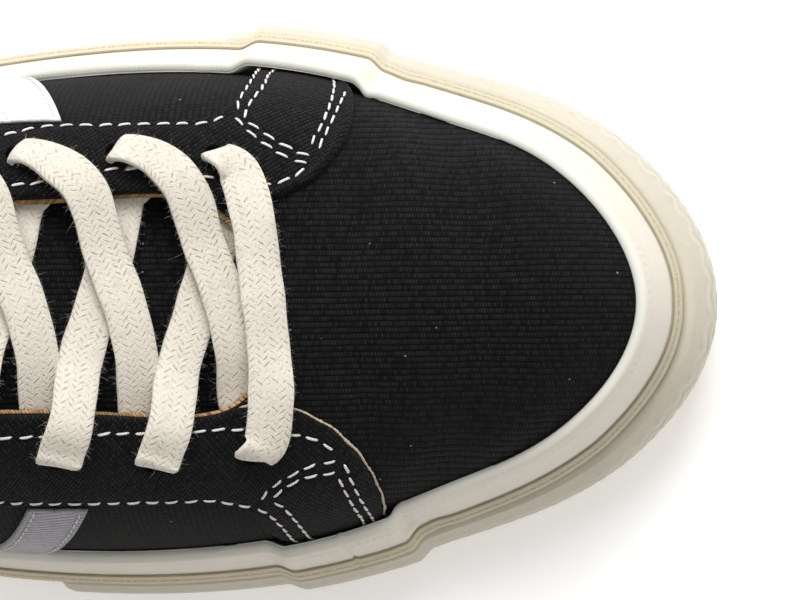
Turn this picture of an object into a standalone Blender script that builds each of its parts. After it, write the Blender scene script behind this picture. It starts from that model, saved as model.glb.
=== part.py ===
"""Low skateboarding shoe for the right foot, standing empty on its sole.

Metres, +Z up. The toe points along +X and the big-toe side is +Y.
The origin is on the floor, under the middle of the shoe's length and width.

The shoe is worked out from one closed line, the feather line, where the upper
meets the sole, and from a second closed line, the edge of the collar and throat.
Stations run round both: 0 at the back of the heel, 12 at the toe on the lateral
side, and on to 24 along the medial side.
"""

import math

import bmesh
import bpy
import numpy as np
from mathutils import Matrix, Vector

# Driving sizes
LAST_LENGTH = 0.2725
BALL_WIDTH = 0.0920
INSTEP_HEIGHT = 0.0865
HEEL_SOLE = 0.0170
BALL_SOLE = 0.0120
TOE_SPRING = 0.0090
THROAT_TURN = 0.118

# Walls and gaps
GAP = 0.0003
WALL = 0.0020
COLLAR_PAD = 0.0055
OVERLAY = 0.0012
BAND_LEATHER = 0.0008
TONGUE_THICK = 0.0040
INSOLE_THICK = 0.0040
EYELET_RADIUS = 0.0027

# Rubber of the sole's side
FOXING_HEEL = 0.0300
FOXING_SIDE = 0.0265
FOXING_TOE = 0.0300
FOXING_LIP = 0.0027
OUTSOLE_EDGE = 0.0032
STRIPE_TALL = 0.0028
STRIPE_THICK = 0.0011
STRIPE_LEVEL = 0.0145
BUMPER_TAIL_MEDIAL = 8.10
BUMPER_TAIL_LATERAL = 6.82

# Tread
GROOVE_DEPTH = 0.0016
GROOVE_WIDTH = 0.0022
GROOVE_PITCH = 0.0300

# Laces
LACE_WIDTH = 0.0083
LACE_THICK = 0.0019
EYELET_PAIRS = 5
EYELET_PITCH = 0.0175
# How far behind the throat's front end the first eyelet of a side is.
EYELET_START = {"lateral": 0.0022, "medial": 0.0086}
EYELET_INSET = 0.0105
# How far toewards of its eyelet a lace crosses the throat's edge, over it and under it.
OVER_LEAN = {"lateral": 0.0026, "medial": 0.0118}
UNDER_LEAN = {"lateral": -0.0015, "medial": 0.0020}
BAR_LEAN = {"lateral": 0.0045, "medial": 0.0083}
LACE_BOW = {"lateral": 0.0000, "medial": 0.0029}
BAR_SHIFT = (-0.0010, 0.0024, 0.0042, 0.0042, 0.0039, 0.0018, 0.0003)
# Height of a lace's middle line above the throat's edge, at even steps across the throat.
OVER_DRAPE = {"medial": (0.0010, 0.0004, -0.0010), "lateral": (0.0003, -0.0004, -0.0010)}
BAR_DRAPE = (0.0031, 0.0035, 0.0029)

# Overlays on the upper
EYESTAY_COVER = 0.0018
SIDE_BAND_WIDTH = 0.0105
BAND_SHIFT = {"lateral": 0.03, "medial": -0.10}

SECTION_COLUMNS = (
    "foot_x", "lateral", "medial", "edge_x", "edge_half", "edge_z",
    "turn", "rise", "swell", "run", "drop",
)  # fmt: skip
# Lengths along the shoe are shares of LAST_LENGTH, across it of BALL_WIDTH, and up it of INSTEP_HEIGHT.
SECTIONS = np.array([
    (0.000, 0.000, 0.000, 0.018, 0.000, 0.890, 0.0, 0.277, 0.038, 0.00, 0.254),
    (0.020, 0.172, 0.185, 0.033, 0.147, 0.884, 0.0, 0.277, 0.038, 0.00, 0.254),
    (0.078, 0.304, 0.317, 0.081, 0.250, 0.827, 0.0, 0.254, 0.038, 0.05, 0.231),
    (0.180, 0.350, 0.354, 0.169, 0.304, 0.734, 0.0, 0.208, 0.038, 0.10, 0.185),
    (0.287, 0.379, 0.371, 0.272, 0.315, 0.751, 0.0, 0.208, 0.038, 0.20, 0.173),
    (0.386, 0.423, 0.403, 0.360, 0.288, 0.925, 0.3, 0.277, 0.039, 0.35, 0.162),
    (0.481, 0.472, 0.450, 0.411, 0.228, 1.017, 1.0, 0.324, 0.038, 0.50, 0.127),
    (0.576, 0.502, 0.487, 0.514, 0.215, 0.890, 1.0, 0.324, 0.036, 0.55, 0.104),
    (0.671, 0.502, 0.498, 0.609, 0.217, 0.769, 1.0, 0.301, 0.030, 0.58, 0.069),
    (0.766, 0.462, 0.466, 0.686, 0.223, 0.676, 1.0, 0.277, 0.024, 0.58, 0.058),
    (0.861, 0.3745, 0.388, 0.721, 0.158, 0.647, 1.0, 0.254, 0.020, 0.55, 0.058),
    (0.944, 0.250, 0.2655, 0.728, 0.076, 0.653, 1.0, 0.290, 0.050, 0.54, 0.058),
    (1.000, 0.000, 0.000, 0.730, 0.000, 0.659, 1.0, 0.318, 0.049, 0.55, 0.058),
])  # fmt: skip
COLUMN = {name: SECTIONS[:, k] for k, name in enumerate(SECTION_COLUMNS)}
HALF = len(SECTIONS) - 1
AROUND = 2 * HALF

# Rubber at the sole's edge: station from the heel, the foxing's reach beyond the feather line at the
# stripe, and the bumper's beyond that.
RUBBER_ROWS = np.array([
    (0.0, 0.0054, 0.0036),
    (6.5, 0.0060, 0.0036),
    (9.3, 0.0060, 0.0036),
    (9.7, 0.0053, 0.0042),
    (10.2, 0.0052, 0.0048),
    (11.0, 0.0048, 0.0060),
    (11.5, 0.0036, 0.0070),
    (12.0, 0.0027, 0.0076),
])  # fmt: skip

# Eyestay outline: a row holds a point of its inner and of its outer edge, as station and share up the wall,
# how much further toewards the lateral one sits, and how much higher the medial one's outer edge is.
EYESTAY_ROWS = np.array([
    (5.55, 1.00, 5.45, 0.720, 0.00, 0.035),
    (6.20, 1.00, 6.15, 0.655, 0.00, 0.055),
    (7.00, 1.00, 7.00, 0.610, 0.00, 0.075),
    (7.80, 1.00, 7.75, 0.605, 0.00, 0.070),
    (8.60, 1.00, 8.32, 0.600, 0.00, 0.070),
    (9.30, 1.00, 8.58, 0.572, 0.00, 0.070),
    (9.80, 0.93, 8.64, 0.510, 0.00, 0.050),
    (9.94, 0.80, 8.63, 0.430, 0.00, 0.020),
    (9.79, 0.66, 8.58, 0.340, 0.05, 0.000),
    (9.54, 0.48, 8.53, 0.250, 0.10, 0.000),
    (9.28, 0.28, 8.48, 0.180, 0.17, 0.000),
    (9.11, 0.13, 8.43, 0.130, 0.22, 0.000),
])  # fmt: skip

# Heel counter: station of its front edge, and share up the wall.
COUNTER_ROWS = np.array([(2.85, 0.13), (2.70, 0.27), (2.30, 0.45), (1.75, 0.62), (1.25, 0.78)])

# Side band: its rear edge, as station and share up the wall, and the top of it on each side.
BAND_ROWS = np.array([(6.43, 0.178), (6.77, 0.38)])
BAND_TOP = {"lateral": (7.10, 0.583), "medial": (7.23, 0.655)}

# Tongue's centre line: share of LAST_LENGTH, height as share of INSTEP_HEIGHT, half width as share of BALL_WIDTH.
TONGUE_ROWS = np.array([
    (0.762, 0.590, 0.185),
    (0.690, 0.624, 0.225),
    (0.609, 0.735, 0.250),
    (0.514, 0.857, 0.255),
    (0.411, 0.985, 0.235),
    (0.352, 1.088, 0.222),
    (0.315, 1.200, 0.270),
])  # fmt: skip
TONGUE_ARCH = 0.0046
TONGUE_ARCH_HALF = 0.0200

SMALL = 1e-3


def periodic_spline(values, place):
    """Closed cubic curve through values at whole numbers, read at place."""
    values = np.asarray(values, float)
    count = len(values)
    system = np.zeros((count, count))
    row = np.arange(count)
    system[row, row] = 4.0
    system[row, (row + 1) % count] += 1.0
    system[row, (row - 1) % count] += 1.0
    slope = np.linalg.solve(system, 3.0 * (np.roll(values, -1) - np.roll(values, 1)))
    place = np.mod(np.asarray(place, float), count)
    low = np.floor(place).astype(int) % count
    high = (low + 1) % count
    t = place - np.floor(place)
    start = (2 * t**3 - 3 * t**2 + 1) * values[low] + (t**3 - 2 * t**2 + t) * slope[low]
    end = (3 * t**2 - 2 * t**3) * values[high] + (t**3 - t**2) * slope[high]
    return start + end


def open_spline(rows, share):
    """Smooth curve through the rows, read at shares from 0 to 1 of their number."""
    rows = np.asarray(rows, float)
    last = len(rows) - 1
    place = np.clip(np.asarray(share, float), 0, 1) * last
    low = np.minimum(np.floor(place).astype(int), last - 1)
    t = (place - low)[..., None]
    padded = np.vstack([2 * rows[0] - rows[1], rows, 2 * rows[-1] - rows[-2]])
    a, b, c, d = (padded[low + k] for k in range(4))
    return 0.5 * (2 * b + (c - a) * t + (2 * a - 5 * b + 4 * c - d) * t**2 + (3 * b - a - 3 * c + d) * t**3)


def round_ring(name, station, opposite=None):
    """A column read round the shoe. With opposite it is a width: lateral negative, medial positive."""
    lateral = COLUMN[name]
    medial = lateral if opposite is None else COLUMN[opposite]
    sign = 1.0 if opposite is None else -1.0
    return periodic_spline(np.concatenate([sign * lateral[:-1], medial[:0:-1]]), station)


def smooth_step(value, low, high):
    """0 below low, 1 above high, and a smooth rise between."""
    t = np.clip((value - low) / (high - low), 0, 1)
    return t * t * (3 - 2 * t)


def station_from_heel(station):
    """Stations counted from the heel on either side, 0 to 12."""
    station = np.mod(station, AROUND)
    return np.minimum(station, AROUND - station)


def is_medial(station):
    return np.mod(station, AROUND) > HALF


def sole_bottom(x):
    """Height of the tread at x from the feather's heel: flat, then the toe spring."""
    start = 0.730 * LAST_LENGTH
    reach = LAST_LENGTH - start
    return TOE_SPRING * np.clip((x - start) / reach, 0, None) ** 2


def sole_top(x):
    """Height of the bed that the upper stands on."""
    to_ball = smooth_step(x, 0.30 * LAST_LENGTH, 0.58 * LAST_LENGTH)
    return HEEL_SOLE + (BALL_SOLE - HEEL_SOLE) * to_ball + sole_bottom(x)


def foxing_top(x):
    """Height of the foxing's upper edge."""
    shares = np.array([0.0, 0.20, 0.45, 0.78, 0.90, 1.0]) * LAST_LENGTH
    mix = (FOXING_TOE + FOXING_SIDE) / 2
    heights = [FOXING_HEEL, FOXING_SIDE + 0.001, FOXING_SIDE, FOXING_SIDE, mix, FOXING_TOE]
    return np.interp(x, shares, heights) + sole_bottom(x)


def feather(station):
    """Plan points of the feather line."""
    x = LAST_LENGTH * round_ring("foot_x", station)
    y = BALL_WIDTH * round_ring("lateral", station, "medial")
    return np.stack([x, y], -1)


def outward(station):
    """Plan direction square to the feather line, away from the shoe."""
    along = feather(station + SMALL) - feather(station - SMALL)
    along /= np.linalg.norm(along, axis=-1, keepdims=True)
    return np.stack([along[..., 1], -along[..., 0]], -1)


def edge_point(station):
    """The collar and throat edge, turned about the throat's own axis along the laces."""
    x = LAST_LENGTH * round_ring("edge_x", station)
    y = BALL_WIDTH * round_ring("edge_half", station, "edge_half")
    x = x - THROAT_TURN * round_ring("turn", station) * y
    return np.stack([x, y, INSTEP_HEIGHT * round_ring("edge_z", station)], -1)


def upper_skin(station, up):
    """Outer face of the upper: a cubic Bezier from the feather line to the edge, at share up."""
    station, up = np.broadcast_arrays(np.asarray(station, float), np.asarray(up, float))
    foot = feather(station)
    away = outward(station)
    swell = BALL_WIDTH * round_ring("swell", station)
    run = round_ring("run", station)
    p0 = np.stack([foot[..., 0], foot[..., 1], sole_top(foot[..., 0]) + GAP], -1)
    rise = INSTEP_HEIGHT * round_ring("rise", station)
    p1 = p0 + np.stack([away[..., 0] * swell, away[..., 1] * swell, rise], -1)
    p3 = edge_point(station)
    lean = 0.8 * swell * np.clip(1 - 1.6 * run, 0, None)
    p2 = p3 + np.stack([
        (p0[..., 0] - p3[..., 0]) * run + away[..., 0] * lean,
        (p0[..., 1] - p3[..., 1]) * run + away[..., 1] * lean,
        -INSTEP_HEIGHT * round_ring("drop", station),
    ], -1)  # fmt: skip
    t = up[..., None]
    return (1 - t) ** 3 * p0 + 3 * (1 - t) ** 2 * t * p1 + 3 * (1 - t) * t**2 * p2 + t**3 * p3


def skin_normal(station, up):
    """Outward unit normal of the upper's outer face."""
    station, up = np.broadcast_arrays(np.asarray(station, float), np.asarray(up, float))
    around = upper_skin(station + SMALL, up) - upper_skin(station - SMALL, up)
    rising = upper_skin(station, np.minimum(up + SMALL, 1)) - upper_skin(station, np.maximum(up - SMALL, 0))
    normal = np.cross(around, rising)
    return normal / np.linalg.norm(normal, axis=-1, keepdims=True)


def lifted(station, up, lift):
    """A point at the given distance outside the upper's outer face; negative is inside."""
    return upper_skin(station, up) + skin_normal(station, up) * np.asarray(lift)[..., None]


def share_at_height(station, z):
    """Share up the wall where the upper's outer face is at height z."""
    shares = np.linspace(0, 0.7, 57)
    station, z = np.broadcast_arrays(np.asarray(station, float), np.asarray(z, float))
    found = np.empty(station.shape)
    for place in np.ndindex(station.shape):
        wall = upper_skin(np.full(shares.shape, station[place]), shares)
        found[place] = np.interp(z[place], wall[:, 2], shares)
    return found


def skin_at_height(station, z):
    """Plan point of the upper's outer face at height z, straight down from the feather line below it."""
    return upper_skin(station, share_at_height(station, z))[..., :2]


def foxing_share(station):
    """Share up the wall that the foxing covers."""
    return share_at_height(station, foxing_top(feather(station)[..., 0]))


def overlay_cover(station):
    """How far the foxing is pushed out by what lies under it: the eyestay's foot and the heel counter."""
    from_heel = station_from_heel(station)
    late = np.where(is_medial(station), 0.0, 0.22)
    eyestay = smooth_step(from_heel - late, 8.18, 8.38) * (1 - smooth_step(from_heel - late, 9.17, 9.36))
    counter = 1 - smooth_step(from_heel, 2.98, 3.30)
    return EYESTAY_COVER * np.maximum(eyestay, counter)


def foxing_spread(station):
    """The foxing's reach beyond the feather line, from the stripe down."""
    reach = np.interp(station_from_heel(station), RUBBER_ROWS[:, 0], RUBBER_ROWS[:, 1])
    return reach + 0.95 * overlay_cover(station)


def bumper_depth(station):
    """How far the toe bumper stands out beyond the foxing."""
    return np.interp(station_from_heel(station), RUBBER_ROWS[:, 0], RUBBER_ROWS[:, 2])


def has_bumper(station):
    """Whether the bumper runs past this station."""
    tail = np.where(is_medial(station), BUMPER_TAIL_MEDIAL, BUMPER_TAIL_LATERAL)
    return station_from_heel(station) >= tail


def rubber_side(station, z):
    """Plan point of the foxing's outer face at height z, from its lip down to the tread."""
    foot = feather(station)
    away = outward(station)
    top = foxing_top(foot[..., 0])
    bend = sole_bottom(foot[..., 0]) + STRIPE_LEVEL + STRIPE_TALL
    lip = skin_at_height(station, top) + away * (GAP + FOXING_LIP + overlay_cover(station))[..., None]
    base = foot + away * foxing_spread(station)[..., None]
    slope = np.clip((top - z) / (top - bend), 0, 1)[..., None]
    return lip * (1 - slope) + base * slope


def to_frame(points):
    """From feather-heel coordinates to the part's frame."""
    points = np.array(points, float)
    points[..., 0] -= FRAME_X
    points[..., 1] -= FRAME_Y
    return points


def outer_limits():
    """Lowest and highest x and y of the rubber at the sole's edge."""
    stations = np.linspace(0, AROUND, 961)
    beyond = np.where(has_bumper(stations), GAP + bumper_depth(stations), GAP + STRIPE_THICK)
    line = feather(stations) + outward(stations) * (foxing_spread(stations) + beyond)[:, None]
    return line.min(0), line.max(0)


LOW_LIMIT, HIGH_LIMIT = outer_limits()
FRAME_X, FRAME_Y = (LOW_LIMIT + HIGH_LIMIT) / 2


def material(name, colour, roughness, metallic=0.0):
    made = bpy.data.materials.new(name)
    made.use_nodes = True
    shader = made.node_tree.nodes["Principled BSDF"]
    shader.inputs["Base Color"].default_value = (*colour, 1.0)
    shader.inputs["Roughness"].default_value = roughness
    shader.inputs["Metallic"].default_value = metallic
    return made


def mesh_object(name, points, faces, finish, collection, flat_angle=35.0):
    """A closed mesh in the part's frame, with its faces turned outwards."""
    mesh = bpy.data.meshes.new(name)
    mesh.from_pydata([tuple(p) for p in np.reshape(points, (-1, 3))], [], faces)
    work = bmesh.new()
    work.from_mesh(mesh)
    bmesh.ops.remove_doubles(work, verts=work.verts, dist=1e-7)
    bmesh.ops.recalc_face_normals(work, faces=work.faces)
    if work.calc_volume(signed=True) < 0:
        bmesh.ops.reverse_faces(work, faces=work.faces)
    work.to_mesh(mesh)
    work.free()
    mesh.shade_smooth()
    mesh.set_sharp_from_angle(angle=math.radians(flat_angle))
    made = bpy.data.objects.new(name, mesh)
    made.data.materials.append(finish)
    collection.objects.link(made)
    return made


def loop_faces(rings, profile, closed_round):
    """Quads of a profile carried round; caps close both ends where it doesn't come round."""
    faces = []
    steps = rings if closed_round else rings - 1
    for i in range(steps):
        j = (i + 1) % rings
        for k in range(profile):
            n = (k + 1) % profile
            faces.append((i * profile + k, j * profile + k, j * profile + n, i * profile + n))
    if not closed_round:
        faces.append(tuple(range(profile)))
        faces.append(tuple(range((rings - 1) * profile, rings * profile)))
    return faces


def slab_faces(rows, columns, closed_rows):
    """Quads of two like grids, one above the other, joined round their rims."""
    count = rows * columns
    faces = []
    steps = rows if closed_rows else rows - 1
    for i in range(steps):
        j = (i + 1) % rows
        for k in range(columns - 1):
            a, b, c, d = i * columns + k, j * columns + k, j * columns + k + 1, i * columns + k + 1
            faces.append((a, b, c, d))
            faces.append((d + count, c + count, b + count, a + count))
        for k in (0, columns - 1):
            a, b = i * columns + k, j * columns + k
            faces.append((a, a + count, b + count, b))
    if not closed_rows:
        for i in (0, rows - 1):
            for k in range(columns - 1):
                a, b = i * columns + k, i * columns + k + 1
                faces.append((a, a + count, b + count, b))
    return faces


def slab(name, over, under, finish, collection, closed_rows=False):
    """A solid between two grids of points with the same rows and columns."""
    rows, columns = over.shape[:2]
    points = to_frame(np.concatenate([over.reshape(-1, 3), under.reshape(-1, 3)]))
    return mesh_object(name, points, slab_faces(rows, columns, closed_rows), finish, collection)


def carried(name, rings, finish, collection, closed_round):
    """A solid of rings of profile points, each ring at one station."""
    count, profile = rings.shape[:2]
    return mesh_object(name, to_frame(rings), loop_faces(count, profile, closed_round), finish, collection)


def cut(target, cutter):
    step = target.modifiers.new("Cut " + cutter.name, "BOOLEAN")
    step.operation = "DIFFERENCE"
    step.object = cutter


def side_stations(side, rows):
    """Stations of a side, from stations counted from the heel."""
    return rows if side == "lateral" else AROUND - rows


def ring_stations():
    """Stations round the shoe, closer together at the toe, the heel and the eyestay's foot."""
    lateral = np.concatenate([
        np.linspace(0, 3.3, 12)[:-1],
        np.linspace(3.3, 8.4, 11)[:-1],
        [8.4, 8.6, 8.85, 9.12, 9.39, 9.58],
        np.linspace(9.9, 12, 11),
    ])  # fmt: skip
    medial = lateral.copy()
    medial[(medial > 8.2) & (medial < 9.8)] -= 0.22
    return np.concatenate([lateral[:-1], (AROUND - medial)[::-1][:-1]])


def make_upper(finish, collection):
    """One wall from the feather line to the edge, thicker and rounded at the padded collar."""
    stations = ring_stations()
    above = np.array([0.0, 0.20, 0.40, 0.60, 0.77, 0.90, 1.0])
    under_tape = foxing_share(stations)[:, None]
    share = np.concatenate([under_tape * [0.0, 0.5], under_tape + (1 - under_tape) * above], axis=1)
    station = np.broadcast_to(stations[:, None], share.shape)
    pad = COLLAR_PAD * (1 - smooth_step(station_from_heel(station), 4.6, 5.6))
    pad = pad * smooth_step(share, 0.45, 0.80)
    rounding = smooth_step(share, 0.86, 1.04)
    outer_lift = -0.45 * (pad + WALL) * rounding * (pad / COLLAR_PAD)
    inner_lift = -(WALL + pad) + 0.45 * (pad + WALL) * rounding * (pad / COLLAR_PAD)
    over = lifted(station, share, outer_lift)
    under = lifted(station, share, inner_lift)
    under[:, 0, 2] = over[:, 0, 2]
    return slab("upper", over, under, finish, collection, closed_rows=True)


def eyelet_places(side):
    """Station and share of each eyelet of a side, from the toe backwards."""
    stations = side_stations(side, np.linspace(5.2, 9.9, 189))
    shares = np.linspace(0.55, 1.0, 91)
    wall = upper_skin(stations[:, None], shares[None, :])
    steps = np.linalg.norm(np.diff(wall, axis=1), axis=2)
    from_edge = np.concatenate([np.cumsum(steps[:, ::-1], axis=1)[:, ::-1], np.zeros((len(stations), 1))], axis=1)
    best = np.abs(from_edge - EYELET_INSET).argmin(axis=1)
    x = wall[np.arange(len(stations)), best, 0]
    first = edge_point(HALF)[0] - EYELET_START[side]
    places = []
    for k in range(EYELET_PAIRS):
        near = np.abs(x - first + k * EYELET_PITCH).argmin()
        places.append((float(stations[near]), float(shares[best[near]])))
    return places


def edge_station(side, x):
    """Station where a side of the throat's edge is at x."""
    stations = side_stations(side, np.linspace(5.6, 9.9, 216))
    return float(stations[np.abs(edge_point(stations)[:, 0] - x).argmin()])


def make_eyelet_cutter(side, collection):
    """Round punches square to the wall, one for each eyelet of a side."""
    work = bmesh.new()
    for station, share in eyelet_places(side):
        centre = to_frame(upper_skin(station, share))
        normal = Vector(skin_normal(station, share))
        turn = normal.to_track_quat("Z", "Y").to_matrix().to_4x4()
        place = Matrix.Translation(Vector(centre)) @ turn
        bmesh.ops.create_cone(
            work, cap_ends=True, segments=8, radius1=EYELET_RADIUS, radius2=EYELET_RADIUS,
            depth=4 * (WALL + OVERLAY), matrix=place,
        )  # fmt: skip
    mesh = bpy.data.meshes.new("eyelet_punch_" + side)
    work.to_mesh(mesh)
    work.free()
    punch = bpy.data.objects.new("eyelet_punch_" + side, mesh)
    punch.hide_render = True
    punch.display_type = "WIRE"
    collection.objects.link(punch)
    return punch


def make_eyestay(side, finish, collection):
    """The facing that carries the eyelets, with its foot down to the sole, laid on the upper."""
    along = np.linspace(0, 1, 34)
    across = np.linspace(0, 1, 5)
    rows = open_spline(EYESTAY_ROWS, along)
    shift = rows[:, None, 4] if side == "lateral" else 0.0
    station = rows[:, None, 0] * (1 - across) + rows[:, None, 2] * across + shift
    outer = rows[:, None, 3] + (rows[:, None, 5] if side == "medial" else 0.0)
    share = rows[:, None, 1] * (1 - across) + outer * across
    share = np.minimum(share, 1.0)
    station = side_stations(side, station)
    over = lifted(station, share, np.full(share.shape, GAP + OVERLAY))
    under = lifted(station, share, np.full(share.shape, GAP))
    return slab("eyestay_" + side, over, under, finish, collection)


def make_counter(finish, collection):
    """Overlay round the back of the heel, under the collar."""
    edge = open_spline(COUNTER_ROWS, np.linspace(0, 1, 8))
    across = np.linspace(-1, 1, 19)
    station = edge[:, None, 0] * across
    share = np.broadcast_to(edge[:, None, 1], station.shape)
    over = lifted(station, share, np.full(share.shape, 1.3 * GAP + OVERLAY))
    under = lifted(station, share, np.full(share.shape, 1.3 * GAP))
    return slab("heel_counter", over, under, finish, collection)


def make_side_band(side, finish, collection):
    """A plain slanted band of leather from the eyestay to the foxing."""
    rear = open_spline(np.vstack([BAND_ROWS, BAND_TOP[side]]), np.linspace(0, 1, 8))
    station_width = SIDE_BAND_WIDTH / (0.0922 * LAST_LENGTH)
    across = np.linspace(0, 1, 4)
    station = side_stations(side, rear[:, None, 0] + BAND_SHIFT[side] + station_width * across)
    share = np.broadcast_to(rear[:, None, 1], station.shape)
    over = lifted(station, share, np.full(share.shape, GAP + BAND_LEATHER))
    under = lifted(station, share, np.full(share.shape, GAP))
    return slab("side_band_" + side, over, under, finish, collection)


def make_foxing(finish, collection):
    """The rubber tape round the upper and the sole's edge."""
    stations = ring_stations()
    foot = feather(stations)
    away = outward(stations)
    low = sole_bottom(foot[:, 0]) + OUTSOLE_EDGE + GAP
    top = foxing_top(foot[:, 0])
    cover = overlay_cover(stations)
    covered = foxing_share(stations)
    rings = [np.column_stack([foot + away * GAP, low])]
    for share, under in ((0.0, 0.2), (0.5, 1.0), (1.0, 1.0)):
        skin = upper_skin(stations, share * covered)
        skin[:, :2] += away * (GAP + under * cover)[:, None]
        rings.append(skin)
    crown = rings[-1] + np.array([0.0, 0.0, 0.0003])
    crown[:, :2] += away * 0.45 * FOXING_LIP
    rings.append(crown)
    for z in (top - 0.0012, sole_bottom(foot[:, 0]) + STRIPE_LEVEL + STRIPE_TALL, low):
        rings.append(np.column_stack([rubber_side(stations, z), z]))
    return carried("foxing", np.stack(rings, 1), finish, collection, True)


def make_stripe(finish, collection):
    """The narrow raised strip round the foxing."""
    stations = ring_stations()
    foot = feather(stations)
    away = outward(stations)
    low = sole_bottom(foot[:, 0]) + STRIPE_LEVEL
    rings = []
    for share, depth in ((0.0, 0.0), (1.0, 0.0), (0.85, 1.0), (0.15, 1.0)):
        z = low + share * STRIPE_TALL
        flat = rubber_side(stations, z) + away * (GAP + depth * STRIPE_THICK)
        rings.append(np.column_stack([flat, z]))
    return carried("foxing_stripe", np.stack(rings, 1), finish, collection, True)


def bumper_stations():
    """Stations from the lateral tail round the toe to the medial tail."""
    ring = ring_stations()
    tails = (BUMPER_TAIL_LATERAL + 0.02, AROUND - BUMPER_TAIL_MEDIAL - 0.02)
    inside = ring[(ring > tails[0] + 0.08) & (ring < tails[1] - 0.08)]
    return np.concatenate([[tails[0]], inside, [tails[1]]])


def make_bumper(finish, collection):
    """The thick strip round the toe below the stripe, thickest at the tip."""
    stations = bumper_stations()
    foot = feather(stations)
    away = outward(stations)
    low = sole_bottom(foot[:, 0]) + OUTSOLE_EDGE + GAP
    top = sole_bottom(foot[:, 0]) + STRIPE_LEVEL - GAP
    depth = bumper_depth(stations)
    rings = []
    for share, reach in ((0.0, 0.0), (1.0, 0.0), (0.97, 0.45), (0.62, 0.86), (0.25, 1.0), (0.0, 0.97)):
        z = low + share * (top - low)
        flat = rubber_side(stations, z) + away * (GAP + reach * depth)[:, None]
        rings.append(np.column_stack([flat, z]))
    return carried("toe_bumper", np.stack(rings, 1), finish, collection, False)


def make_outsole(finish, collection):
    """The rubber bottom: a body inside the foxing on a flange that shows under it."""
    half = np.concatenate([np.linspace(0, 2, 7)[:-1], np.linspace(2, 10, 17)[:-1], np.linspace(10, 12, 10)])
    levels = []
    for station in (half, AROUND - half):
        foot = feather(station)
        away = outward(station)
        bottom = sole_bottom(foot[:, 0])
        edge = foxing_spread(station) + np.where(has_bumper(station), 0.93 * bumper_depth(station), 0.0)
        ring = []
        for reach, z in (
            (0.0, sole_top(foot[:, 0])),
            (0.0, bottom + OUTSOLE_EDGE),
            (edge, bottom + OUTSOLE_EDGE),
            (edge, bottom + 0.0008),
            (edge - 0.0008, bottom),
        ):
            flat = foot + away * np.broadcast_to(reach, bottom.shape)[:, None]
            ring.append(np.column_stack([flat, z]))
        levels.append(np.stack(ring, 1))
    rows = np.concatenate([levels[0], levels[1][:, ::-1]], axis=1)
    return carried("outsole", rows, finish, collection, False)


def make_groove_cutter(collection):
    """Bars that cut the main grooves across the tread, leaving lugs between them."""
    work = bmesh.new()
    low, high = LOW_LIMIT[0] + 0.5 * GROOVE_PITCH, 0.76 * LAST_LENGTH
    for k in range(int((high - low) / GROOVE_PITCH) + 1):
        centre = to_frame([low + k * GROOVE_PITCH, 0.0, 0.0])
        size = Matrix.Diagonal((GROOVE_WIDTH, 2 * BALL_WIDTH, 2 * GROOVE_DEPTH, 1.0))
        bmesh.ops.create_cube(work, size=1.0, matrix=Matrix.Translation(Vector(centre)) @ size)
    mesh = bpy.data.meshes.new("groove_bars")
    work.to_mesh(mesh)
    work.free()
    bars = bpy.data.objects.new("groove_bars", mesh)
    bars.hide_render = True
    bars.display_type = "WIRE"
    collection.objects.link(bars)
    return bars


def make_insole(finish, collection):
    """The sock that lies on the sole inside the upper."""
    half = np.linspace(0, 12, 25)
    inset = WALL + 2 * GAP
    sides = []
    for station in (half, AROUND - half):
        flat = feather(station) - outward(station) * inset
        sides.append(flat)
    across = np.array([0.0, 0.5, 1.0])
    flat = sides[0][:, None] * (1 - across[:, None]) + sides[1][:, None] * across[:, None]
    under = np.concatenate([flat, (sole_top(flat[..., 0]) + GAP)[..., None]], -1)
    over = under + np.array([0.0, 0.0, INSOLE_THICK])
    return slab("insole", over, under, finish, collection)


def tongue_grid(along, across, depth):
    """Points of the tongue: arched across, on its own centre line, at depth below its top face."""
    rows = open_spline(TONGUE_ROWS, along)
    slope = open_spline(TONGUE_ROWS, np.minimum(along + 0.01, 1)) - open_spline(TONGUE_ROWS, np.maximum(along - 0.01, 0))
    rise = np.stack([slope[:, 0] * LAST_LENGTH, slope[:, 1] * INSTEP_HEIGHT], -1)
    rise /= np.linalg.norm(rise, axis=-1, keepdims=True)
    half = rows[:, 2] * BALL_WIDTH
    y = half[:, None] * across
    arch = TONGUE_ARCH * np.abs(y / TONGUE_ARCH_HALF) ** 2.4
    down = arch + depth
    x = rows[:, None, 0] * LAST_LENGTH - THROAT_TURN * y + rise[:, None, 1] * down
    z = rows[:, None, 1] * INSTEP_HEIGHT + rise[:, None, 0] * down
    return np.stack([x, y, z], -1)


def make_tongue(finish, collection):
    """The padded tongue under the laces, standing up behind them."""
    along = np.linspace(0, 1, 19)
    across = np.linspace(-1, 1, 9)
    thin = 1 - 0.45 * np.abs(across) ** 4
    over = tongue_grid(along, across, np.zeros(across.shape))
    under = tongue_grid(along, across, TONGUE_THICK * thin)
    return slab("tongue", over, under, finish, collection)


def lace_strap(name, route, widths, finish, collection):
    """A flat lace along a smooth line through the route's points, each with the face's own direction."""
    share = np.linspace(0, 1, 17)
    centre = open_spline(np.array([p for p, _ in route]), share)
    face = open_spline(np.array([n for _, n in route]), share)
    width = open_spline(np.array(widths)[:, None], share)[:, 0]
    along = np.gradient(centre, axis=0)
    along /= np.linalg.norm(along, axis=1, keepdims=True)
    across = np.cross(face, along)
    across /= np.linalg.norm(across, axis=1, keepdims=True)
    normal = np.cross(along, across)
    thick = LACE_THICK / 2
    rings = []
    for w, t in ((-0.5, 0.0), (-0.40, 1.0), (0.40, 1.0), (0.5, 0.0), (0.40, -1.0), (-0.40, -1.0)):
        rings.append(centre + across * (w * width)[:, None] + normal * (t * thick))
    return carried(name, np.stack(rings, 1), finish, collection, False)


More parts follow.
